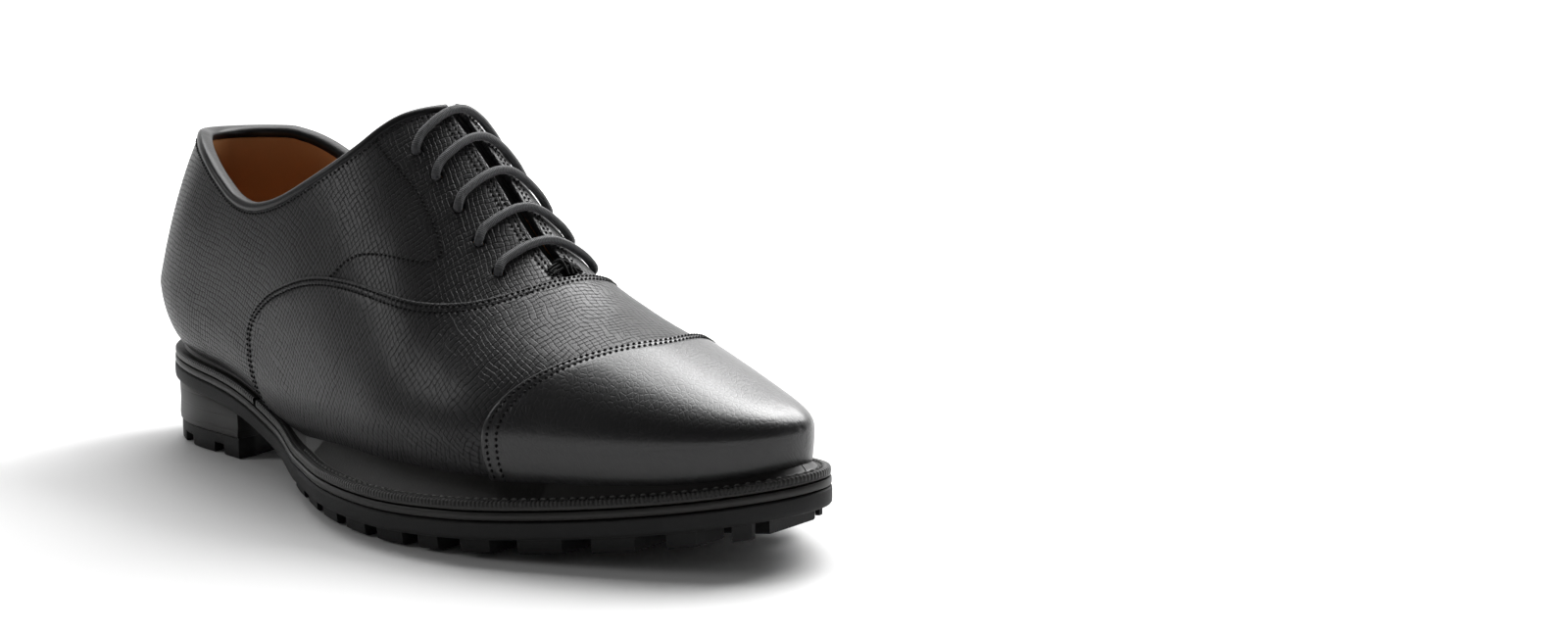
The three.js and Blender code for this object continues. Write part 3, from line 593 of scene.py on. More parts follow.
def grained_calf(name, first_way, second_way, waviness):
    """black calf with an embossed grain of fine lines that cross; each way is (along, girth, depth)"""
    finish, ink = new_finish(name)
    lay = ink.lay()
    along = lay.axis(0)
    girth = lay.axis(1)
    flat = ink.node("CombineXYZ", None, {"X": along, "Y": girth})
    sway = ink.clouds(flat, 55, 2)
    wander = ink.clouds(flat, 260, 2)
    fine = ink.clouds(flat, 2100, 2, .6)
    patchy = ink.clouds(flat, 40, 2)
    wear = ink.clouds(flat, 300, 3)

    def scored(a, b, depth, pitch):
        line = (along * a + girth * b + sway * waviness + wander * .0012) / pitch
        off = (line - line.put_through("FLOOR") - .5).put_through("ABSOLUTE")
        return (1 - off.between(.01, .22)) * depth
    first = scored(*first_way, .00168) * wear.between(.30, .55)
    second = scored(*second_way, .00185) * (1 - wear.between(.50, .72) * .7)
    grooves = (first + second).between(0.0, 1.15)
    relief = 1 - grooves * (patchy * .5 + .5) + fine * .16
    # The grooves are also coloured darker than the flats: painted shade in them.
    colour = grooves.tint(fine.tint((.0065, .0063, .007, 1), (.0125, .0122, .0132, 1)), (.0018, .0018, .002, 1))
    rough = .33 + grooves * .22 + fine * .08 + patchy * .06
    close_finish(ink, colour, rough, relief, .00024, Specular_IOR_Level=.22,
                 Coat_Weight=.16 - grooves * .14, Coat_Roughness=.24)
    return finish


quarter_calf = grained_calf("quarter_grained_calf", (.93, -.36, 1.0), (.28, .96, .9), .0035)
for mark, side, half in (("lateral", -1, outer_side), ("medial", 1, inner_side)):
    hole_edge = eyelet_gap(side, EYELET_HOLE)
    leather_sheet("quarter_calf_" + mark, QUARTER,
                  [half, lambda p: under_topline(p) - BINDING_BAND, facing_edge,
                   lambda p: QUARTER_LAP - in_vamp(p), hole_edge],
                  quarter_calf, [facing_edge, hole_edge], .7, [(facing_edge, row) for row in FACING_ROWS],
                  slot="black_leather", stands_for=["quarter_" + mark])

# ------------------------------------------------------------------ vamp
# One piece of the same calf over the forepart, lapped 8 mm over both quarters. Its back edge
# runs down to the sole in one long curve and is held by two rows of stitches.
VAMP = (.3, 1.6)
CAP_LAP = 8


def cap_line(y):
    return 243 - np.where(y < 0, 26, 20) * (np.abs(y) / np.where(y < 0, 50, 42)) ** 1.6


def in_cap(places):
    """distance in front of the toe cap's edge"""
    p = last_point(places[:, 0], places[:, 1])
    slope = (cap_line(p[:, 1] + .1) - cap_line(p[:, 1] - .1)) / .2
    return (p[:, 0] - cap_line(p[:, 1])) / np.hypot(1, slope)


vamp_calf = grained_calf("vamp_grained_calf", (.95, -.30, .9), (.20, .98, .6), .006)
VAMP_ROWS = (1.1, 2.7)
leather_sheet("vamp_calf", VAMP, [in_vamp, lambda p: CAP_LAP - in_cap(p)], vamp_calf, [in_vamp], .8,
              [(in_vamp, row) for row in VAMP_ROWS], slot="black_leather", stands_for=["vamp"])

# ------------------------------------------------------------------ toe cap
# A cap of smoother, more highly polished calf drawn over the toe, on top of the vamp. Two rows of
# stitches follow its back edge.
TOE_CAP = (1.9, 3.2)


def burnished_calf(name, grain, shine=.3, coat=.3):
    finish, ink = new_finish(name)
    lay = ink.lay()
    crease = ink.clouds(lay, 420, 3, .6)
    fine = ink.clouds(lay, 2300, 2, .6)
    mottled = ink.clouds(lay, 26, 3)
    cells = ink.node("TexVoronoi", {"feature": "DISTANCE_TO_EDGE"}, {"Vector": lay, "Scale": 620.0})
    colour = mottled.tint((.0045, .0044, .005, 1), (.009, .0088, .0095, 1))
    relief = cells.between(0.0, .18) * grain + fine * .3 + crease * .25
    close_finish(ink, colour, .28 + mottled * .12 + fine * .07, relief, .00008, Specular_IOR_Level=shine,
                 Coat_Weight=coat, Coat_Roughness=.2)
    return finish


cap_calf = burnished_calf("toe_cap_polished_calf", .5, .34, .38)
CAP_ROWS = (1.1, 2.7)
leather_sheet("toe_cap_calf", TOE_CAP, [in_cap], cap_calf, [in_cap], .8,
              [(in_cap, row) for row in CAP_ROWS], slot="black_leather", stands_for=["toe_cap"])

# ------------------------------------------------------------------ topline binding
# A narrow strip of smooth shiny leather rolled over the raw top edges of quarter and lining,
# all round the opening from one facing to the other.
binding_leather = burnished_calf("binding_smooth_leather", .2, .18, .10)


def traced(places, faces, height):
    """the lines on a sheet along which height is 0, as chains of places"""
    height = np.where(np.abs(height) < 1e-6, 1e-6, height)
    up_side, fresh, found = crossings(places, faces, height)
    count = up_side[faces].sum(1)
    tris = faces[(count == 1) | (count == 2)]
    lone_up = up_side[tris].sum(1) == 1
    turn = np.argmax(up_side[tris] == lone_up[:, None], axis=1)
    a, b, c = (np.take_along_axis(tris, ((turn + k) % 3)[:, None], 1)[:, 0] for k in range(3))
    links = {}
    for p, q in zip(found(a, b).tolist(), found(a, c).tolist()):
        links.setdefault(p, []).append(q)
        links.setdefault(q, []).append(p)
    chains = []
    while links:
        ends = [k for k, v in links.items() if len(v) == 1]
        here = ends[0] if ends else next(iter(links))
        chain = [here]
        while True:
            onward = links.get(here, [])
            if not onward:
                break
            ahead = onward[0]
            for p, q in ((here, ahead), (ahead, here)):
                links[p].remove(q)
                if not links[p]:
                    del links[p]
            chain.append(ahead)
            here = ahead
        chains.append(fresh[chain])
    return chains


def length_along(line):
    return np.concatenate([[0], np.cumsum(np.linalg.norm(np.diff(line, axis=0), axis=1))])


def even_steps(chain, pitch):
    """places at even distances along a chain"""
    run = length_along(last_point(chain[:, 0], chain[:, 1]))
    at = np.linspace(0, run[-1], max(2, int(round(run[-1] / pitch)) + 1))
    return np.stack([np.interp(at, run, chain[:, 0]), np.interp(at, run, chain[:, 1])], -1)


def tube_rings(centres, across, over, shape):
    """rings of a given cross-section (across, over) along centres"""
    return centres[:, None] + across[:, None] * shape[None, :, :1] + over[:, None] * shape[None, :, 1:2]


def skinned(rings):
    """points and faces of rings joined end to end, closed at both ends"""
    count, sides = rings.shape[:2]
    index = np.arange(count * sides).reshape(count, sides)
    nxt = np.roll(index, -1, axis=1)
    faces = np.stack([index[:-1], nxt[:-1], nxt[1:], index[1:]], -1).reshape(-1, 4).tolist()
    faces += [index[0, ::-1].tolist(), index[-1].tolist()]
    return rings.reshape(-1, 3), faces


def smoothed(values, times):
    for _ in range(times):
        values = np.concatenate([values[:1], (values[:-2] + 2 * values[1:-1] + values[2:]) / 4, values[-1:]])
    return values


BINDING_FRONT = 160
RIM_DEPTH = 1.5
BINDING_SHAPE = np.array([(.10, 1.55), (.42, 1.15), (.62, .55), (.66, -.15), (.5, -.85), (.1, -1.35), (-.6, -1.62),
                          (-1.6, -1.72), (-2.7, -1.7), (-3.7, -1.5), (-4.4, -1.05), (-4.72, -.3), (-4.7, .6),
                          (-4.5, 1.5), (-2.2, 1.55)])
halves = []
for half in (outer_side, inner_side):
    places, faces = whole_last()
    for edge in (half, facing_edge, lambda p: BINDING_FRONT - x_of(p)):
        places, faces = cut(places, faces, edge(places))
    chain = max(traced(places, faces, under_topline(places) - RIM_DEPTH), key=len)
    halves.append(chain if chain[0, 0] > chain[-1, 0] else chain[::-1])
rim_places = even_steps(halves[0], 1.2)
other_places = even_steps(halves[1][::-1], 1.2)
rim_line = np.concatenate([last_point(*rim_places.T), last_point(*other_places.T)[1:]])
rim_out = np.concatenate([last_normal(*rim_places.T), last_normal(*other_places.T)[1:]])
rim_line = smoothed(rim_line, 2)
rim_out = smoothed(rim_out, 4)
tangent = np.gradient(rim_line, axis=0)
tangent /= np.linalg.norm(tangent, axis=1, keepdims=True)
rim_down = np.cross(tangent, rim_out)
rim_down *= np.where(rim_down[:, 2] > 0, -1, 1)[:, None]
rim_down /= np.linalg.norm(rim_down, axis=1, keepdims=True)
rings = tube_rings(rim_line, rim_out, rim_down, BINDING_SHAPE)
points, faces = skinned(rings)
lay = np.stack(np.broadcast_arrays(length_along(rim_line)[:, None],
                                   np.arange(len(BINDING_SHAPE))[None] * .8, 0), -1)
lay = lay.reshape(-1, 3) / 1000
mesh_piece("topline_binding_strip", points, faces, binding_leather, lay, slot="black_leather",
           stands_for=["topline_binding"], crease=60)

# ------------------------------------------------------------------ stitching
# Fine black linen thread, about six stitches to the centimetre: two rows along vamp and toe cap,
# two along each facing, one under the binding and one in the swan-neck curve beside the eyelets.
SWAN_NECK = flowing([(134, 114), (142, 108.5), (150, 103), (159, 96.5), (167, 89), (173, 82.5), (175, 79),
                     (171, 77.2), (163, 78), (154, 78.6), (146, 77.8), (140, 75), (136.5, 71.5)], 6)


def waxed_thread(name, colour):
    finish, ink = new_finish(name)
    place = ink.place()
    strands = ink.clouds(place, 2600, 2, .6)
    close_finish(ink, strands.tint(tuple(.6 * c for c in colour) + (1,), tuple(colour) + (1,)),
                 .6 + strands * .2, strands, .00006, Specular_IOR_Level=.2)
    return finish


black_thread = waxed_thread("black_waxed_thread", (.004, .004, .0042))


def one_stitch(centre, out, lift, size):
    """a thread through five points, sunk into its holes at both ends"""
    angle = np.arange(6) * pi / 3
    ahead = centre[-1] - centre[0]
    ahead /= np.linalg.norm(ahead) + 1e-9
    beside_it = np.cross(ahead, out)
    up = lift[:, None, None] + (np.cos(angle) * size[:, None])[..., None]
    aside = (np.sin(angle) * size[:, None])[..., None]
    return skinned(centre[:, None] + out[:, None] * up + beside_it[:, None] * aside)


def joined(parts):
    """several (points, faces) pairs as one"""
    points, faces, count = [], [], 0
    for fresh, more in parts:
        faces += [[k + count for k in face] for face in more]
        points.append(fresh)
        count += len(fresh)
    return np.concatenate(points), faces


def part_way(at, reach, line):
    """points of a line at given distances, reach being the distance of each of its own points"""
    return np.stack([np.interp(at, reach, line[:, k]) for k in range(3)], -1)


def stitch_rows(name, rows, off, pitch, length, thick, finish, **said):
    """threads lying hole to hole along rows of places on the upper"""
    lift = np.array([-.30, .02, .10, .02, -.30]) * thick / .28
    size = np.array([.45, .95, 1.05, .95, .45]) * thick
    threads = []
    for chain in rows:
        dense = even_steps(chain, .25)
        q = on_last(dense, np.full(len(dense), off))
        n = last_normal(dense[:, 0], dense[:, 1])
        reach = length_along(q)
        for start in np.arange(.4, reach[-1] - length, pitch):
            at = start + np.linspace(0, length, 5)
            threads.append(one_stitch(part_way(at, reach, q), part_way(at, reach, n), lift, size))
    mesh_piece(name, *joined(threads), finish, **said)


SCRAP = 12


def row_on(sheet, edge, depth):
    """the lines on a sheet that run at one depth beside an edge, without stray scraps"""
    places, faces = sheet_of[sheet]
    return [c for c in traced(places, faces, edge(places) - depth) if len(c) > SCRAP]


SEWN = dict(pitch=1.8, length=1.25, thick=.33, finish=black_thread, slot="cord")
stitch_rows("vamp_stitch_rows", sum((row_on("vamp_calf", in_vamp, row) for row in VAMP_ROWS), []), VAMP[1], **SEWN)
stitch_rows("toe_cap_stitch_rows", sum((row_on("toe_cap_calf", in_cap, row) for row in CAP_ROWS), []),
            TOE_CAP[1], **SEWN)
in_swan_neck = beside(side_view, SWAN_NECK).reshape(grid_s.shape)
for mark in ("lateral", "medial"):
    sheet = "quarter_calf_" + mark
    stitch_rows("facing_stitch_rows_" + mark,
                [c for row in FACING_ROWS for c in row_on(sheet, facing_edge, row)
                 if x_of(c).mean() > 125], QUARTER[1], **SEWN)
    stitch_rows("topline_stitch_row_" + mark, row_on(sheet, under_topline, BINDING_BAND + .9), QUARTER[1], **SEWN)
    places, faces = sheet_of[sheet]
    places, faces = cut(places, faces, x_of(places) - 133.5)
    chains = traced(places, faces, from_grid(in_swan_neck, places))
    near = [c for c in chains if len(c) > SCRAP and x_of(c).max() < 178]
    stitch_rows("swan_neck_stitch_row_" + mark, near, QUARTER[1], **{**SEWN, "thick": .42, "length": 1.3})

# ------------------------------------------------------------------ tongue
# A strip of black calf lined in tan, sewn in at the throat and loose above, so that it lifts. It
# lies under facings and lace and stands a little above them at the top.
TONGUE = (-10.2, -8.9)
TONGUE_LINING = (-11.8, -10.5)
TONGUE_OUTLINE = [(204, 0), (204, -11), (198, -15), (175, -22), (150, -22), (137, -18), (133.5, -10), (132.5, 0),
                  (133.5, 10), (137, 18), (150, 22), (175, 22), (198, 15), (204, 11), (204, 0)]


def inside_tongue(shrink):
    outline = flowing(TONGUE_OUTLINE, 4)

    def inside(places):
        p = last_point(places[:, 0], places[:, 1])
        plan = p[:, :2] + last_normal(*places.T)[:, :2] * TONGUE[1]
        return np.where(p[:, 2] > 45, beside(plan, outline) - shrink, -9)
    return inside


tongue_calf = burnished_calf("tongue_calf", .9, .12, .02)
leather_sheet("tongue_leather", TONGUE, [inside_tongue(0)], tongue_calf, [inside_tongue(0)], .6,
              body="tongue_body", slot="black_leather", stands_for=["tongue"])
leather_sheet("tongue_tan_lining", TONGUE_LINING, [inside_tongue(.6)], tan_calf,
              body="tongue_body", slot="tan_leather", stands_for=["tongue_lining"])

# ------------------------------------------------------------------ eyelets
# Ten black-lacquered steel rings set behind the facings, where only the holes in the leather
# show. The shank under the arch and the five nails in the heel are of plain steel.


def sheet_steel(name, dark, light, metal):
    finish, ink = new_finish(name)
    place = ink.place()
    brushed = ink.clouds(place, 700, 3, .6)
    colour = brushed.tint(dark, light)
    close_finish(ink, colour, .3 + brushed * .22, brushed, .00003, Metallic=metal)
    return finish


lacquered = sheet_steel("black_lacquered_steel", (.005, .005, .005, 1), (.012, .012, .012, 1), 0.0)
steel = sheet_steel("plain_steel", (.36, .36, .37, 1), (.55, .55, .56, 1), 1.0)
carry_over([f"eyelet_{mark}_{k + 1}" for mark in ("lateral", "medial") for k in range(5)], lacquered)
carry_over(["shank"] + [f"heel_nail_{k}" for k in range(1, 6)], steel)

# ------------------------------------------------------------------ insole and sock
# The fibre insole with its sewing rib, the steel shank and the cork filling are shut inside. On
# top lies a thin tan calf sock, the floor that shows when looking into the shoe.


def cork_mix():
    finish, ink = new_finish("cork_mix")
    place = ink.place()
    crumbs = ink.node("TexVoronoi", None, {"Vector": place, "Scale": 520.0})
    colour = crumbs.tint((.22, .12, .05, 1), (.50, .33, .17, 1))
    close_finish(ink, colour, .85 + crumbs * .1, crumbs, .0003)
    return finish


carry_over(["cork_filler"], cork_mix())


def feather_line(off, s, side):
    """a point of the feather line moved outward by off"""
    places = np.stack([np.broadcast_to(s, np.shape(s)), np.full(np.shape(s), float(side))], -1)
    return on_last(places, np.full(len(places), float(off)))


def sock():
    s = .5 - .5 * np.cos(pi * np.linspace(.012, .988, 150))
    outer = feather_line(LINING[0] - .8, s, -1)
    inner = feather_line(LINING[0] - .8, s, 1)
    across = np.linspace(0, 1, 17)
    top = outer[:, None] * (1 - across[None, :, None]) + inner[:, None] * across[None, :, None]
    top[..., 2] += 4.3 - .35 * (2 * np.abs(across - .5)) ** 8
    low = top.copy()
    low[..., 2] = outer[:, None, 2] * (1 - across) + inner[:, None, 2] * across + 3.3
    rings = np.concatenate([top, low[:, ::-1]], axis=1)
    points, faces = skinned(rings)
    lay = points * [1, 1, 0] / 1000
    mesh_piece("sock_tan_calf", points, faces, tan_calf, lay, slot="tan_leather", stands_for=["sock_lining"])


sock()

# ------------------------------------------------------------------ welt and heel rand
# A strip of dark leather sewn all round the forepart, ending in a rand round the heel seat. Its
# top is wheeled with small marks beside a row of light grey stitches.
RAND_FRONT = 81
WELT = (8.3, 11.0)


def sole_edge(inset, s, side):
    """a point of the sole's outline, moved in by inset; z is the height of the outsole's underside"""
    x = SOLE_BACK + inset + (SOLE_LENGTH - 2 * inset) * s
    y = side * (np.where(side < 0, table(SOLE_SIDE[-1], s), table(SOLE_SIDE[1], s)) - inset)
    return np.stack([x, y * round_ends(s, .16, 2.3, .3, 2.1), sole_rise(x)], -1)


def round_the_shoe(start_x, whole=False, count=260):
    """stations from the outer side at start_x round the toe to the inner side, or all the way round"""
    turn = np.linspace(0, 1, count)
    s = .5 - .5 * np.cos(pi * turn)
    keep = s >= (0 if whole else (start_x - SOLE_BACK) / SOLE_LENGTH)
    s = s[keep]
    return np.concatenate([s, s[::-1][1:]]), np.concatenate([-np.ones(len(s)), np.ones(len(s) - 1)])


WHEEL_PITCH = .0013


def dark_sole_leather(name, marks):
    """leather stained black and waxed, wheeled with small marks where that is asked for, the marks' raised ridges
    given a painted highlight
    """
    finish, ink = new_finish(name)
    lay = ink.lay()
    run = lay.axis(0)
    depth = lay.axis(1)
    fibres = ink.clouds(lay, 900, 4, .65)
    stained = ink.clouds(lay, 55, 3)
    colour = stained.tint((.008, .0075, .007, 1), (.016, .015, .014, 1))
    relief = fibres * .25
    rough = .42 + stained * .14
    if marks:
        wheel = (run * (2 * pi / WHEEL_PITCH)).put_through("SINE") * .5 + .5
        strip = depth.between(.0004, .0007) * (1 - depth.between(.0022, .0026))
        relief = relief + wheel * strip
        # The raised ridges of the wheel marks are coloured lighter: a painted highlight.
        colour = (wheel * strip * .35).tint(colour, (.05, .05, .05, 1))
    close_finish(ink, colour, rough, relief, .0004 if marks else .00008, Specular_IOR_Level=.3,
                 Coat_Weight=.08, Coat_Roughness=.3)
    return finish


def ring_piece(name, s, side, profile, inner_off, heights, finish, **said):
    """a flat strip following the sole edge, its section given outside by (inset, height) pairs"""
    outside = [sole_edge(inset, s, side) + [0, 0, height] for inset, height in profile]
    places = np.stack([s, side], -1)
    hidden = on_last(places, np.full(len(s), float(inner_off)))
    rings = outside + [hidden + [0, 0, heights[1]], hidden + [0, 0, heights[0]]]
    rings = np.stack(rings, 1)
    points, faces = skinned(rings)
    run = length_along(outside[0])
    inward = np.linalg.norm(rings - rings[:, len(profile) - 3][:, None], axis=2)
    lay = np.stack([np.broadcast_to(run[:, None], inward.shape), inward, 0 * inward], -1).reshape(-1, 3) / 1000
    mesh_piece(name, points, faces, finish, lay, **said)


welt_leather = dark_sole_leather("welt_leather", True)
WELT_PROFILE = [(.9, 8.3), (.45, 8.6), (.35, 9.4), (.4, 10.3), (.75, 10.85), (1.2, 11.0), (2.2, 11.0), (3.4, 11.0),
                (4.6, 11.0)]
s, side = round_the_shoe(RAND_FRONT)
ring_piece("welt_strip", s, side, WELT_PROFILE, -5.4, WELT, welt_leather, slot="sole_leather", stands_for=["welt"])
heel_s, heel_side = round_the_shoe(0, True)
behind = heel_s < (RAND_FRONT - .3 - SOLE_BACK) / SOLE_LENGTH
first_half = behind & (heel_side < 0)
second_half = behind & (heel_side > 0)
rand_s = np.concatenate([heel_s[first_half][::-1], heel_s[second_half][::-1]])
rand_side = np.concatenate([heel_side[first_half][::-1], heel_side[second_half][::-1]])
ring_piece("heel_rand_strip", rand_s, rand_side, WELT_PROFILE, -5.4, WELT, welt_leather,
           slot="sole_leather", stands_for=["heel_rand"])
grey_thread = waxed_thread("grey_welt_thread", (.16, .16, .155))
WELT_ROW_INSET = 2.9
WELT_STITCH_LENGTH = 2.1
WELT_STITCH_PITCH = 2.9


def welt_stitches():
    """long stitches round the top of the welt, a little in from its edge"""
    line = sole_edge(WELT_ROW_INSET, *round_the_shoe(128, count=900)) + [0, 0, WELT[1]]
    reach = length_along(line)
    upright = np.broadcast_to([0, 0, 1.0], (5, 3))
    lift = np.array([-.35, .08, .18, .08, -.35])
    size = np.array([.2, .38, .42, .38, .2])
    share = np.linspace(0, WELT_STITCH_LENGTH, 5)
    threads = [one_stitch(part_way(start + share, reach, line), upright, lift, size)
               for start in np.arange(1, reach[-1] - 3, WELT_STITCH_PITCH)]
    mesh_piece("welt_stitches", *joined(threads), grey_thread, slot="cord")


welt_stitches()

# ------------------------------------------------------------------ midsole
# A leather midsole between welt and rubber, its edge trimmed, stained black and waxed.
midsole_leather = dark_sole_leather("midsole_waxed_edge", False)


def slab_piece(name, profile, finish, **said):
    """a layer of the whole sole, its edge given by (inset, height) pairs from underside to top"""
    s = .5 - .5 * np.cos(pi * np.linspace(0, 1, 240))
    rings = [sole_edge(inset, s, np.full(len(s), -1.0)) + [0, 0, height] for inset, height in profile]
    rings += [sole_edge(inset, s, np.full(len(s), 1.0)) + [0, 0, height] for inset, height in profile[::-1]]
    rings = np.stack(rings, 1)
    points, faces = skinned(rings)
    mesh_piece(name, points, faces, finish, points / 1000, **said)


slab_piece("midsole_slab", [(1.2, 5.6), (.4, 5.7), (.2, 6.0), (.15, 6.8), (.2, 7.6), (.4, 7.9), (1.2, 8.0)],
           midsole_leather, slot="sole_leather", stands_for=["midsole"])

# ------------------------------------------------------------------ rubber outsole
# A moulded black rubber sole cemented under the midsole, with rows of separate lugs along both
# edges of the forepart and a plain pad between them.


def moulded_rubber():
    finish, ink = new_finish("moulded_rubber")
    place = ink.place()
    grain = ink.clouds(place, 1500, 3, .6)
    dusty = ink.clouds(place, 30, 4)
    colour = dusty.tint((.007, .007, .0072, 1), (.014, .014, .0145, 1))
    close_finish(ink, colour, .55 + dusty * .16 + grain * .08, grain, .00008, Specular_IOR_Level=.28)
    return finish


rubber = moulded_rubber()
slab_piece("outsole_rubber",
           [(1.4, 0), (.5, .15), (.1, .6), (0, 1.6), (0, 3.9), (.1, 4.8), (.5, 5.2), (1.4, 5.3)],
           rubber, slot="rubber", stands_for=["outsole"])
TREAD = (118, 294)
GROOVES = [133, 150, 167, 184, 201, 215, 231.5, 251, 269.5, 284]
HALF_GROOVES = [3] * 5 + [3.8] * 5
LUG = 4.5
LUG_INSET = 2.0


def lug(x0, x1, inner_y, side):
    """one block of the tread between two grooves, from inner_y out to the sole's edge"""
    stations = np.linspace(x0, x1, 9)
    s = (stations - SOLE_BACK - LUG_INSET) / (SOLE_LENGTH - 2 * LUG_INSET)
    edge = sole_edge(LUG_INSET, s, np.full(9, float(side)))
    edge = edge[np.abs(edge[:, 1]) > abs(inner_y) + 1]
    if len(edge) < 3:
        return None
    inside = edge[::-1].copy()
    inside[:, 1] = inner_y
    outline = np.concatenate([edge, inside])
    middle = outline.mean(0)
    rings = []
    for shrink, height in ((0, .4), (0, -.8), (.012, -3.7), (.05, -4.35), (.10, -LUG)):
        ring = outline + (middle - outline) * shrink
        ring[:, 2] = sole_rise(ring[:, 0]) + height
        rings.append(ring)
    return skinned(np.stack(rings))


blocks = []
edges = [TREAD[0]] + [x for g, h in zip(GROOVES, HALF_GROOVES) for x in (g - h, g + h)] + [TREAD[1]]
for x0, x1 in zip(edges[::2], edges[1::2]):
    blocks += [b for b in (lug(x0, x1, -16, -1), lug(x0, x1, 14, 1)) if b]
stations = np.linspace(TREAD[0], TREAD[1] - 2, 60)
s = (stations - SOLE_BACK - LUG_INSET) / (SOLE_LENGTH - 2 * LUG_INSET)
low = np.maximum(-10.5, sole_edge(LUG_INSET, s, np.full(60, -1.0))[:, 1])
high = np.minimum(9, sole_edge(LUG_INSET, s, np.full(60, 1.0))[:, 1])
pad = ((low, .4), (low, .5 - LUG), (low + .5, -LUG), (high - .5, -LUG), (high, .5 - LUG), (high, .4))
blocks.append(skinned(np.stack([np.stack([stations, y, sole_rise(stations) + h], -1) for y, h in pad], 1)))
mesh_piece("outsole_tread_lugs", *joined(blocks), rubber, slot="rubber")

# ------------------------------------------------------------------ heel
# A block of stacked leather lifts under the heel seat, nailed on, with a hollow front face and a
# notched rubber top piece that meets the ground.
HEEL_LENGTH = 67
TOP_PIECE = 7
NOTCH = 3.5
LIFT = .0048


def heel_outline(inset, front):
    """plan outline of the heel: round the back along the sole's edge, then across the hollow breast"""
    end = (front - SOLE_BACK - inset) / (SOLE_LENGTH - 2 * inset)
    turn = np.linspace(0, 1, 60)
    s = end * (1 - np.cos(turn * pi / 2))
    outer = sole_edge(inset, s, np.full(60, -1.0))[:, :2]
    inner = sole_edge(inset, s, np.full(60, 1.0))[:, :2]
    breast = np.linspace(inner[-1, 1], outer[-1, 1], 21)[1:-1]
    hollow = front - 5 * np.clip(1 - (breast / 27) ** 2, 0, 1) ** .8
    return np.concatenate([outer[::-1], inner[1:], np.stack([hollow, breast], -1)])


def stacked_lifts():
    finish, ink = new_finish("stacked_heel_leather")
    place = ink.place()
    layer = place.axis(2) / LIFT
    off = (layer - layer.put_through("FLOOR") - .5).put_through("ABSOLUTE")
    line = 1 - off.between(.42, .5)
    fibres = ink.clouds(place, 600, 4, .6)
    stained = ink.clouds(place, 45, 3)
    colour = stained.tint((.006, .0055, .005, 1), (.013, .012, .011, 1))
    close_finish(ink, colour, .42 + stained * .16, line * .5 + fibres * .2, .00012,
                 Specular_IOR_Level=.25, Coat_Weight=.06, Coat_Roughness=.3)
    return finish


heel_rings = []
for inset, share in ((1.5, 0), (1.1, .03), (1.0, .12), (1.3, .5), (1.2, .9), (1.6, 1)):
    outline = heel_outline(inset, HEEL_LENGTH)
    top = sole_rise(outline[:, 0]) - .3
    z = TOP_PIECE + .3 + (top - TOP_PIECE - .3) * share
    heel_rings.append(np.concatenate([outline, z[:, None]], 1))
mesh_piece("heel_stacked_block", *skinned(np.stack(heel_rings)), stacked_lifts(), slot="sole_leather",
           stands_for=["heel_block"])


def top_piece_height(points):
    """notches cut up into the rubber from below, two on each side and two behind"""
    x, y = points[:, 0], points[:, 1]
    side_notch = (np.abs(y) > 24) & (((x > 26) & (x < 34)) | ((x > 50) & (x < 56)))
    back_notch = (x < 12) & (np.abs(y) > 3) & (np.abs(y) < 9)
    return np.where(side_notch | back_notch, NOTCH, 0.0)


def top_piece():
    """rings from the middle of the underside out to the notched edge and in again on top"""
    dense = heel_outline(1.5, HEEL_LENGTH - .5)
    inner = dense * [.80, .70] + [6.0, 0]
    n = len(dense)
    run = np.linspace(0, n - 1, 4 * n)
    fine = np.stack([np.interp(run, np.arange(n), dense[:, k]) for k in range(2)], -1)
    near = np.stack([np.interp(run, np.arange(n), inner[:, k]) for k in range(2)], -1)
    low = top_piece_height(fine)
    flat = 0 * low
    rings = [(near, flat), (fine + (near - fine) * .03, low), (fine, low + .5), (fine, flat + TOP_PIECE - .7),
             (fine + (near - fine) * .04, flat + TOP_PIECE)]
    return skinned(np.stack([np.concatenate([plan, z[:, None]], 1) for plan, z in rings]))


mesh_piece("heel_rubber_top_piece", *top_piece(), rubber, slot="rubber", stands_for=["heel_top_piece"])

# ------------------------------------------------------------------ lace
# One round waxed cotton lace in five straight bars over the gap, from eyelet to eyelet under the
# facings, with its two tipped ends tucked inside. The same tack closes the foot of the throat.
LACE = 1.4
LACE_TIP = 1.2
LACE_OUT = LACE + .25
LACE_IN = LINING[0] - LACE - .7


def lace_hole(number, side, off):
    centre, axis = eyelet_axis[number, side]
    return centre + axis * off


def lace_bar(number, start):
    """up out of one hole, over the gap and down into the opposite one"""
    x, y = EYELETS[number]
    points = [lace_hole(number, start, off) for off in (-4.4, -2, .9)]
    points += [over_plan(x, start * y * f, LACE_OUT)[0] for f in (.9, .7, .45, .15, -.15, -.45, -.7, -.9)]
    return points + [lace_hole(number, -start, off) for off in (.9, -2, -4.4)]


def lace_run(first, last, side, lane):
    """under the facing from one hole to another, in a lane lane mm from the middle"""
    xa, xb = EYELETS[first][0], EYELETS[last][0]
    ahead = np.sign(xb - xa)
    points = [lace_hole(first, side, LACE_IN)]
    if abs(first - last) > 1:
        points += [over_plan(x, side * lane, LACE_IN)[0]
                   for x in (xa + ahead * 6, (xa + xb) / 2, xb - ahead * 7)]
    return points + [lace_hole(last, side, LACE_IN)]


def lace_tail(number, side):
    """the tucked end of the lace, up to its first hole"""
    x, y = EYELETS[number]
    steps = ((-6.5, 8.5), (-5.5, 6.5), (-4.5, 3.5))
    points = [over_plan(x + dx, side * (y + dy), LACE_IN)[0] for dx, dy in steps]
    return points + [lace_hole(number, side, LACE_IN)]


lace_route = (lace_tail(1, -1) + lace_bar(1, -1) + lace_run(1, 3, 1, 13.6) + lace_bar(3, 1)
              + lace_run(3, 4, -1, 13.6) + lace_bar(4, -1) + lace_run(4, 2, 1, 23.4) + lace_bar(2, 1)
              + lace_run(2, 0, -1, 13.6) + lace_bar(0, -1) + lace_tail(0, 1)[::-1])


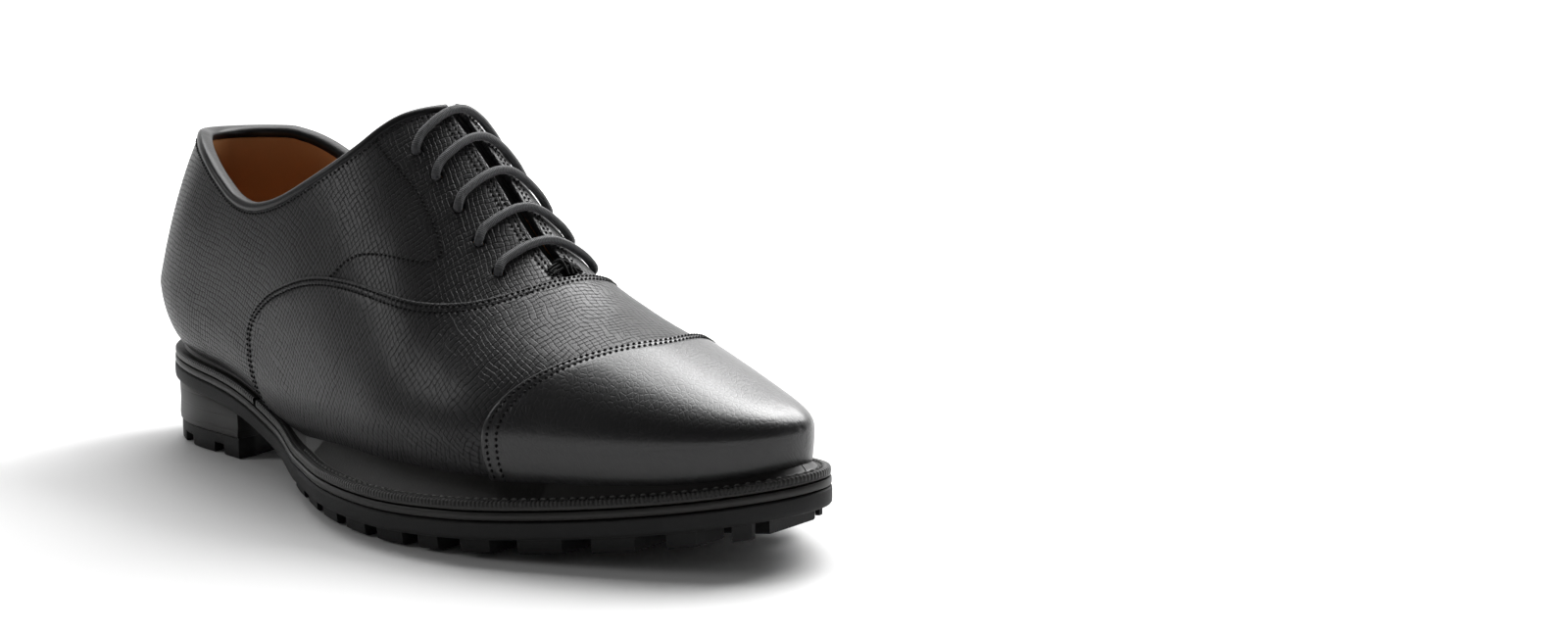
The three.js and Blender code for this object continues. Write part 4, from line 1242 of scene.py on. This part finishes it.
def waxed_lace():
    finish, ink = new_finish("round_waxed_lace")
    lay = ink.lay()
    run = lay.axis(0) * 5200
    around = lay.axis(1) * 3
    braid = (run + around).put_through("SINE") * (run - around).put_through("SINE")
    fuzz = ink.clouds(lay, 1800, 3)
    # The braid's hollows are coloured darker than its crowns: painted shade in them.
    colour = (braid * .5 + .5).tint((.013, .0135, .015, 1), (.032, .033, .037, 1))
    close_finish(ink, colour, .5 + fuzz * .2, braid * .5 + fuzz * .3, .00016, Sheen_Weight=.25,
                 Sheen_Roughness=.4)
    return finish


def round_cord(path, radius, sides=14):
    """a round cord along a path, with its frame carried on without twist"""
    path = np.asarray(path)
    tangent = np.gradient(path, axis=0)
    tangent /= np.linalg.norm(tangent, axis=1, keepdims=True) + 1e-12
    normal = np.array([.3, .5, .8])
    rings, angle = [], np.arange(sides) * 2 * pi / sides
    for p, t in zip(path, tangent):
        normal = normal - t * (normal @ t)
        normal /= np.linalg.norm(normal)
        other = np.cross(t, normal)
        rings.append(p + radius * (np.cos(angle)[:, None] * normal + np.sin(angle)[:, None] * other))
    lay = np.stack(np.broadcast_arrays(length_along(path)[:, None] / 1000, angle[None], 0.0), -1).reshape(-1, 3)
    points, faces = skinned(np.stack(rings))
    return points, faces, lay


lace_cotton = waxed_lace()
points, faces, lay = round_cord(flowing(lace_route, 6), LACE)
mesh_piece("round_lace", points, faces, lace_cotton, lay, slot="cord", stands_for=["lace"], crease=70)
for mark, side, end in (("lateral", -1, lace_route[0]), ("medial", 1, lace_route[-1])):
    down = np.array([-.2, side * -.05, -1])
    down /= np.linalg.norm(down)
    path = [end + down * d for d in (1.7, 2.2, 5, 9, 12.4, 13)]
    points, faces, lay = round_cord(path, LACE_TIP)
    mesh_piece("lace_tip_" + mark, points, faces, black_thread, lay, slot="cord", stands_for=["aglet_" + mark])


def tack_thread(start, end, bend, radius):
    """one thread of the tack between two plan points, arched over the leather"""
    (xa, ya), (xb, yb) = start, end
    share = np.linspace(0, 1, 7)
    lift = bend * 4 * share * (1 - share)
    path = [over_plan(xa + (xb - xa) * t, ya + (yb - ya) * t + 1e-3, .35 + h)[0] for t, h in zip(share, lift)]
    return round_cord(path, radius)


TACK_THREAD = .42
TACK = [((198.2, -6), (198.4, 6), 1.0), ((199.3, -6.4), (199.2, 6.2), 1.1), ((200.3, -5.8), (200.2, 6), .9),
        ((196.5, -1.6), (201.8, -.9), 1.9), ((196.3, 1.5), (201.8, .8), 1.9), ((197.0, -3.4), (201.5, 3.0), 1.9)]
threads = [tack_thread(start, end, bend, TACK_THREAD)[:2] for start, end, bend in TACK]
mesh_piece("throat_tack", *joined(threads), black_thread, slot="cord", stands_for=["throat_bar_tack"],
           crease=70)

# ------------------------------------------------------------------ floor and light
# A plain pale floor that runs back out of sight, a large soft light overhead and two weaker ones.


def pale_floor():
    finish, ink = new_finish("pale_floor")
    place = ink.place()
    faint = ink.clouds(place, 3, 2)
    away = ink.node("VectorMath", {"operation": "LENGTH"}, {"Vector": place}, 1).between(.25, 1.1)
    close_finish(ink, faint.tint((.84, .84, .84, 1), (.86, .86, .86, 1)), .75 + faint * .05,
                 Emission_Color=away.tint((0, 0, 0, 1), (.75, .75, .75, 1)), Emission_Strength=1.0)
    return finish


def plane(name, size, place, turned, finish):
    bpy.ops.mesh.primitive_plane_add(size=size, location=place, rotation=turned)
    bpy.context.object.name = name
    bpy.context.object.data.materials.append(finish)


def white_wall():
    finish, ink = new_finish("white_wall")
    close_finish(ink, (.9, .9, .9, 1), .9, Emission_Color=(1, 1, 1, 1), Emission_Strength=.85)
    return finish


plane("studio_floor", 24, (0, 0, -.0002), (0, 0, 0), pale_floor())
plane("studio_wall", 24, (-4.6, 5.8, 8), (pi / 2, 0, .70), white_wall())
world = bpy.data.worlds.new("studio")
bpy.context.scene.world = world
world.use_nodes = True
world.node_tree.nodes["Background"].inputs["Color"].default_value = (1, 1, 1, 1)
world.node_tree.nodes["Background"].inputs["Strength"].default_value = .10


def soft_light(name, place, aim, size, power):
    lamp = bpy.data.lights.new(name, "AREA")
    lamp.shape = "RECTANGLE"
    lamp.size, lamp.size_y = size
    lamp.energy = power
    holder = bpy.data.objects.new(name, lamp)
    holder.location = place
    holder.rotation_euler = (Vector(aim) - Vector(place)).to_track_quat("-Z", "Y").to_euler()
    bpy.context.scene.collection.objects.link(holder)


soft_light("overhead", (-.30, .50, 1.20), (.1, 0, 0), (1.0, .7), 14)
soft_light("heel_side", (-.9, -.9, .75), (0, 0, .05), (.5, .5), 3)
soft_light("beyond_toe", (.15, .85, .85), (.2, 0, .04), (.75, .75), 15)
bpy.context.scene.view_settings.view_transform = "Standard"
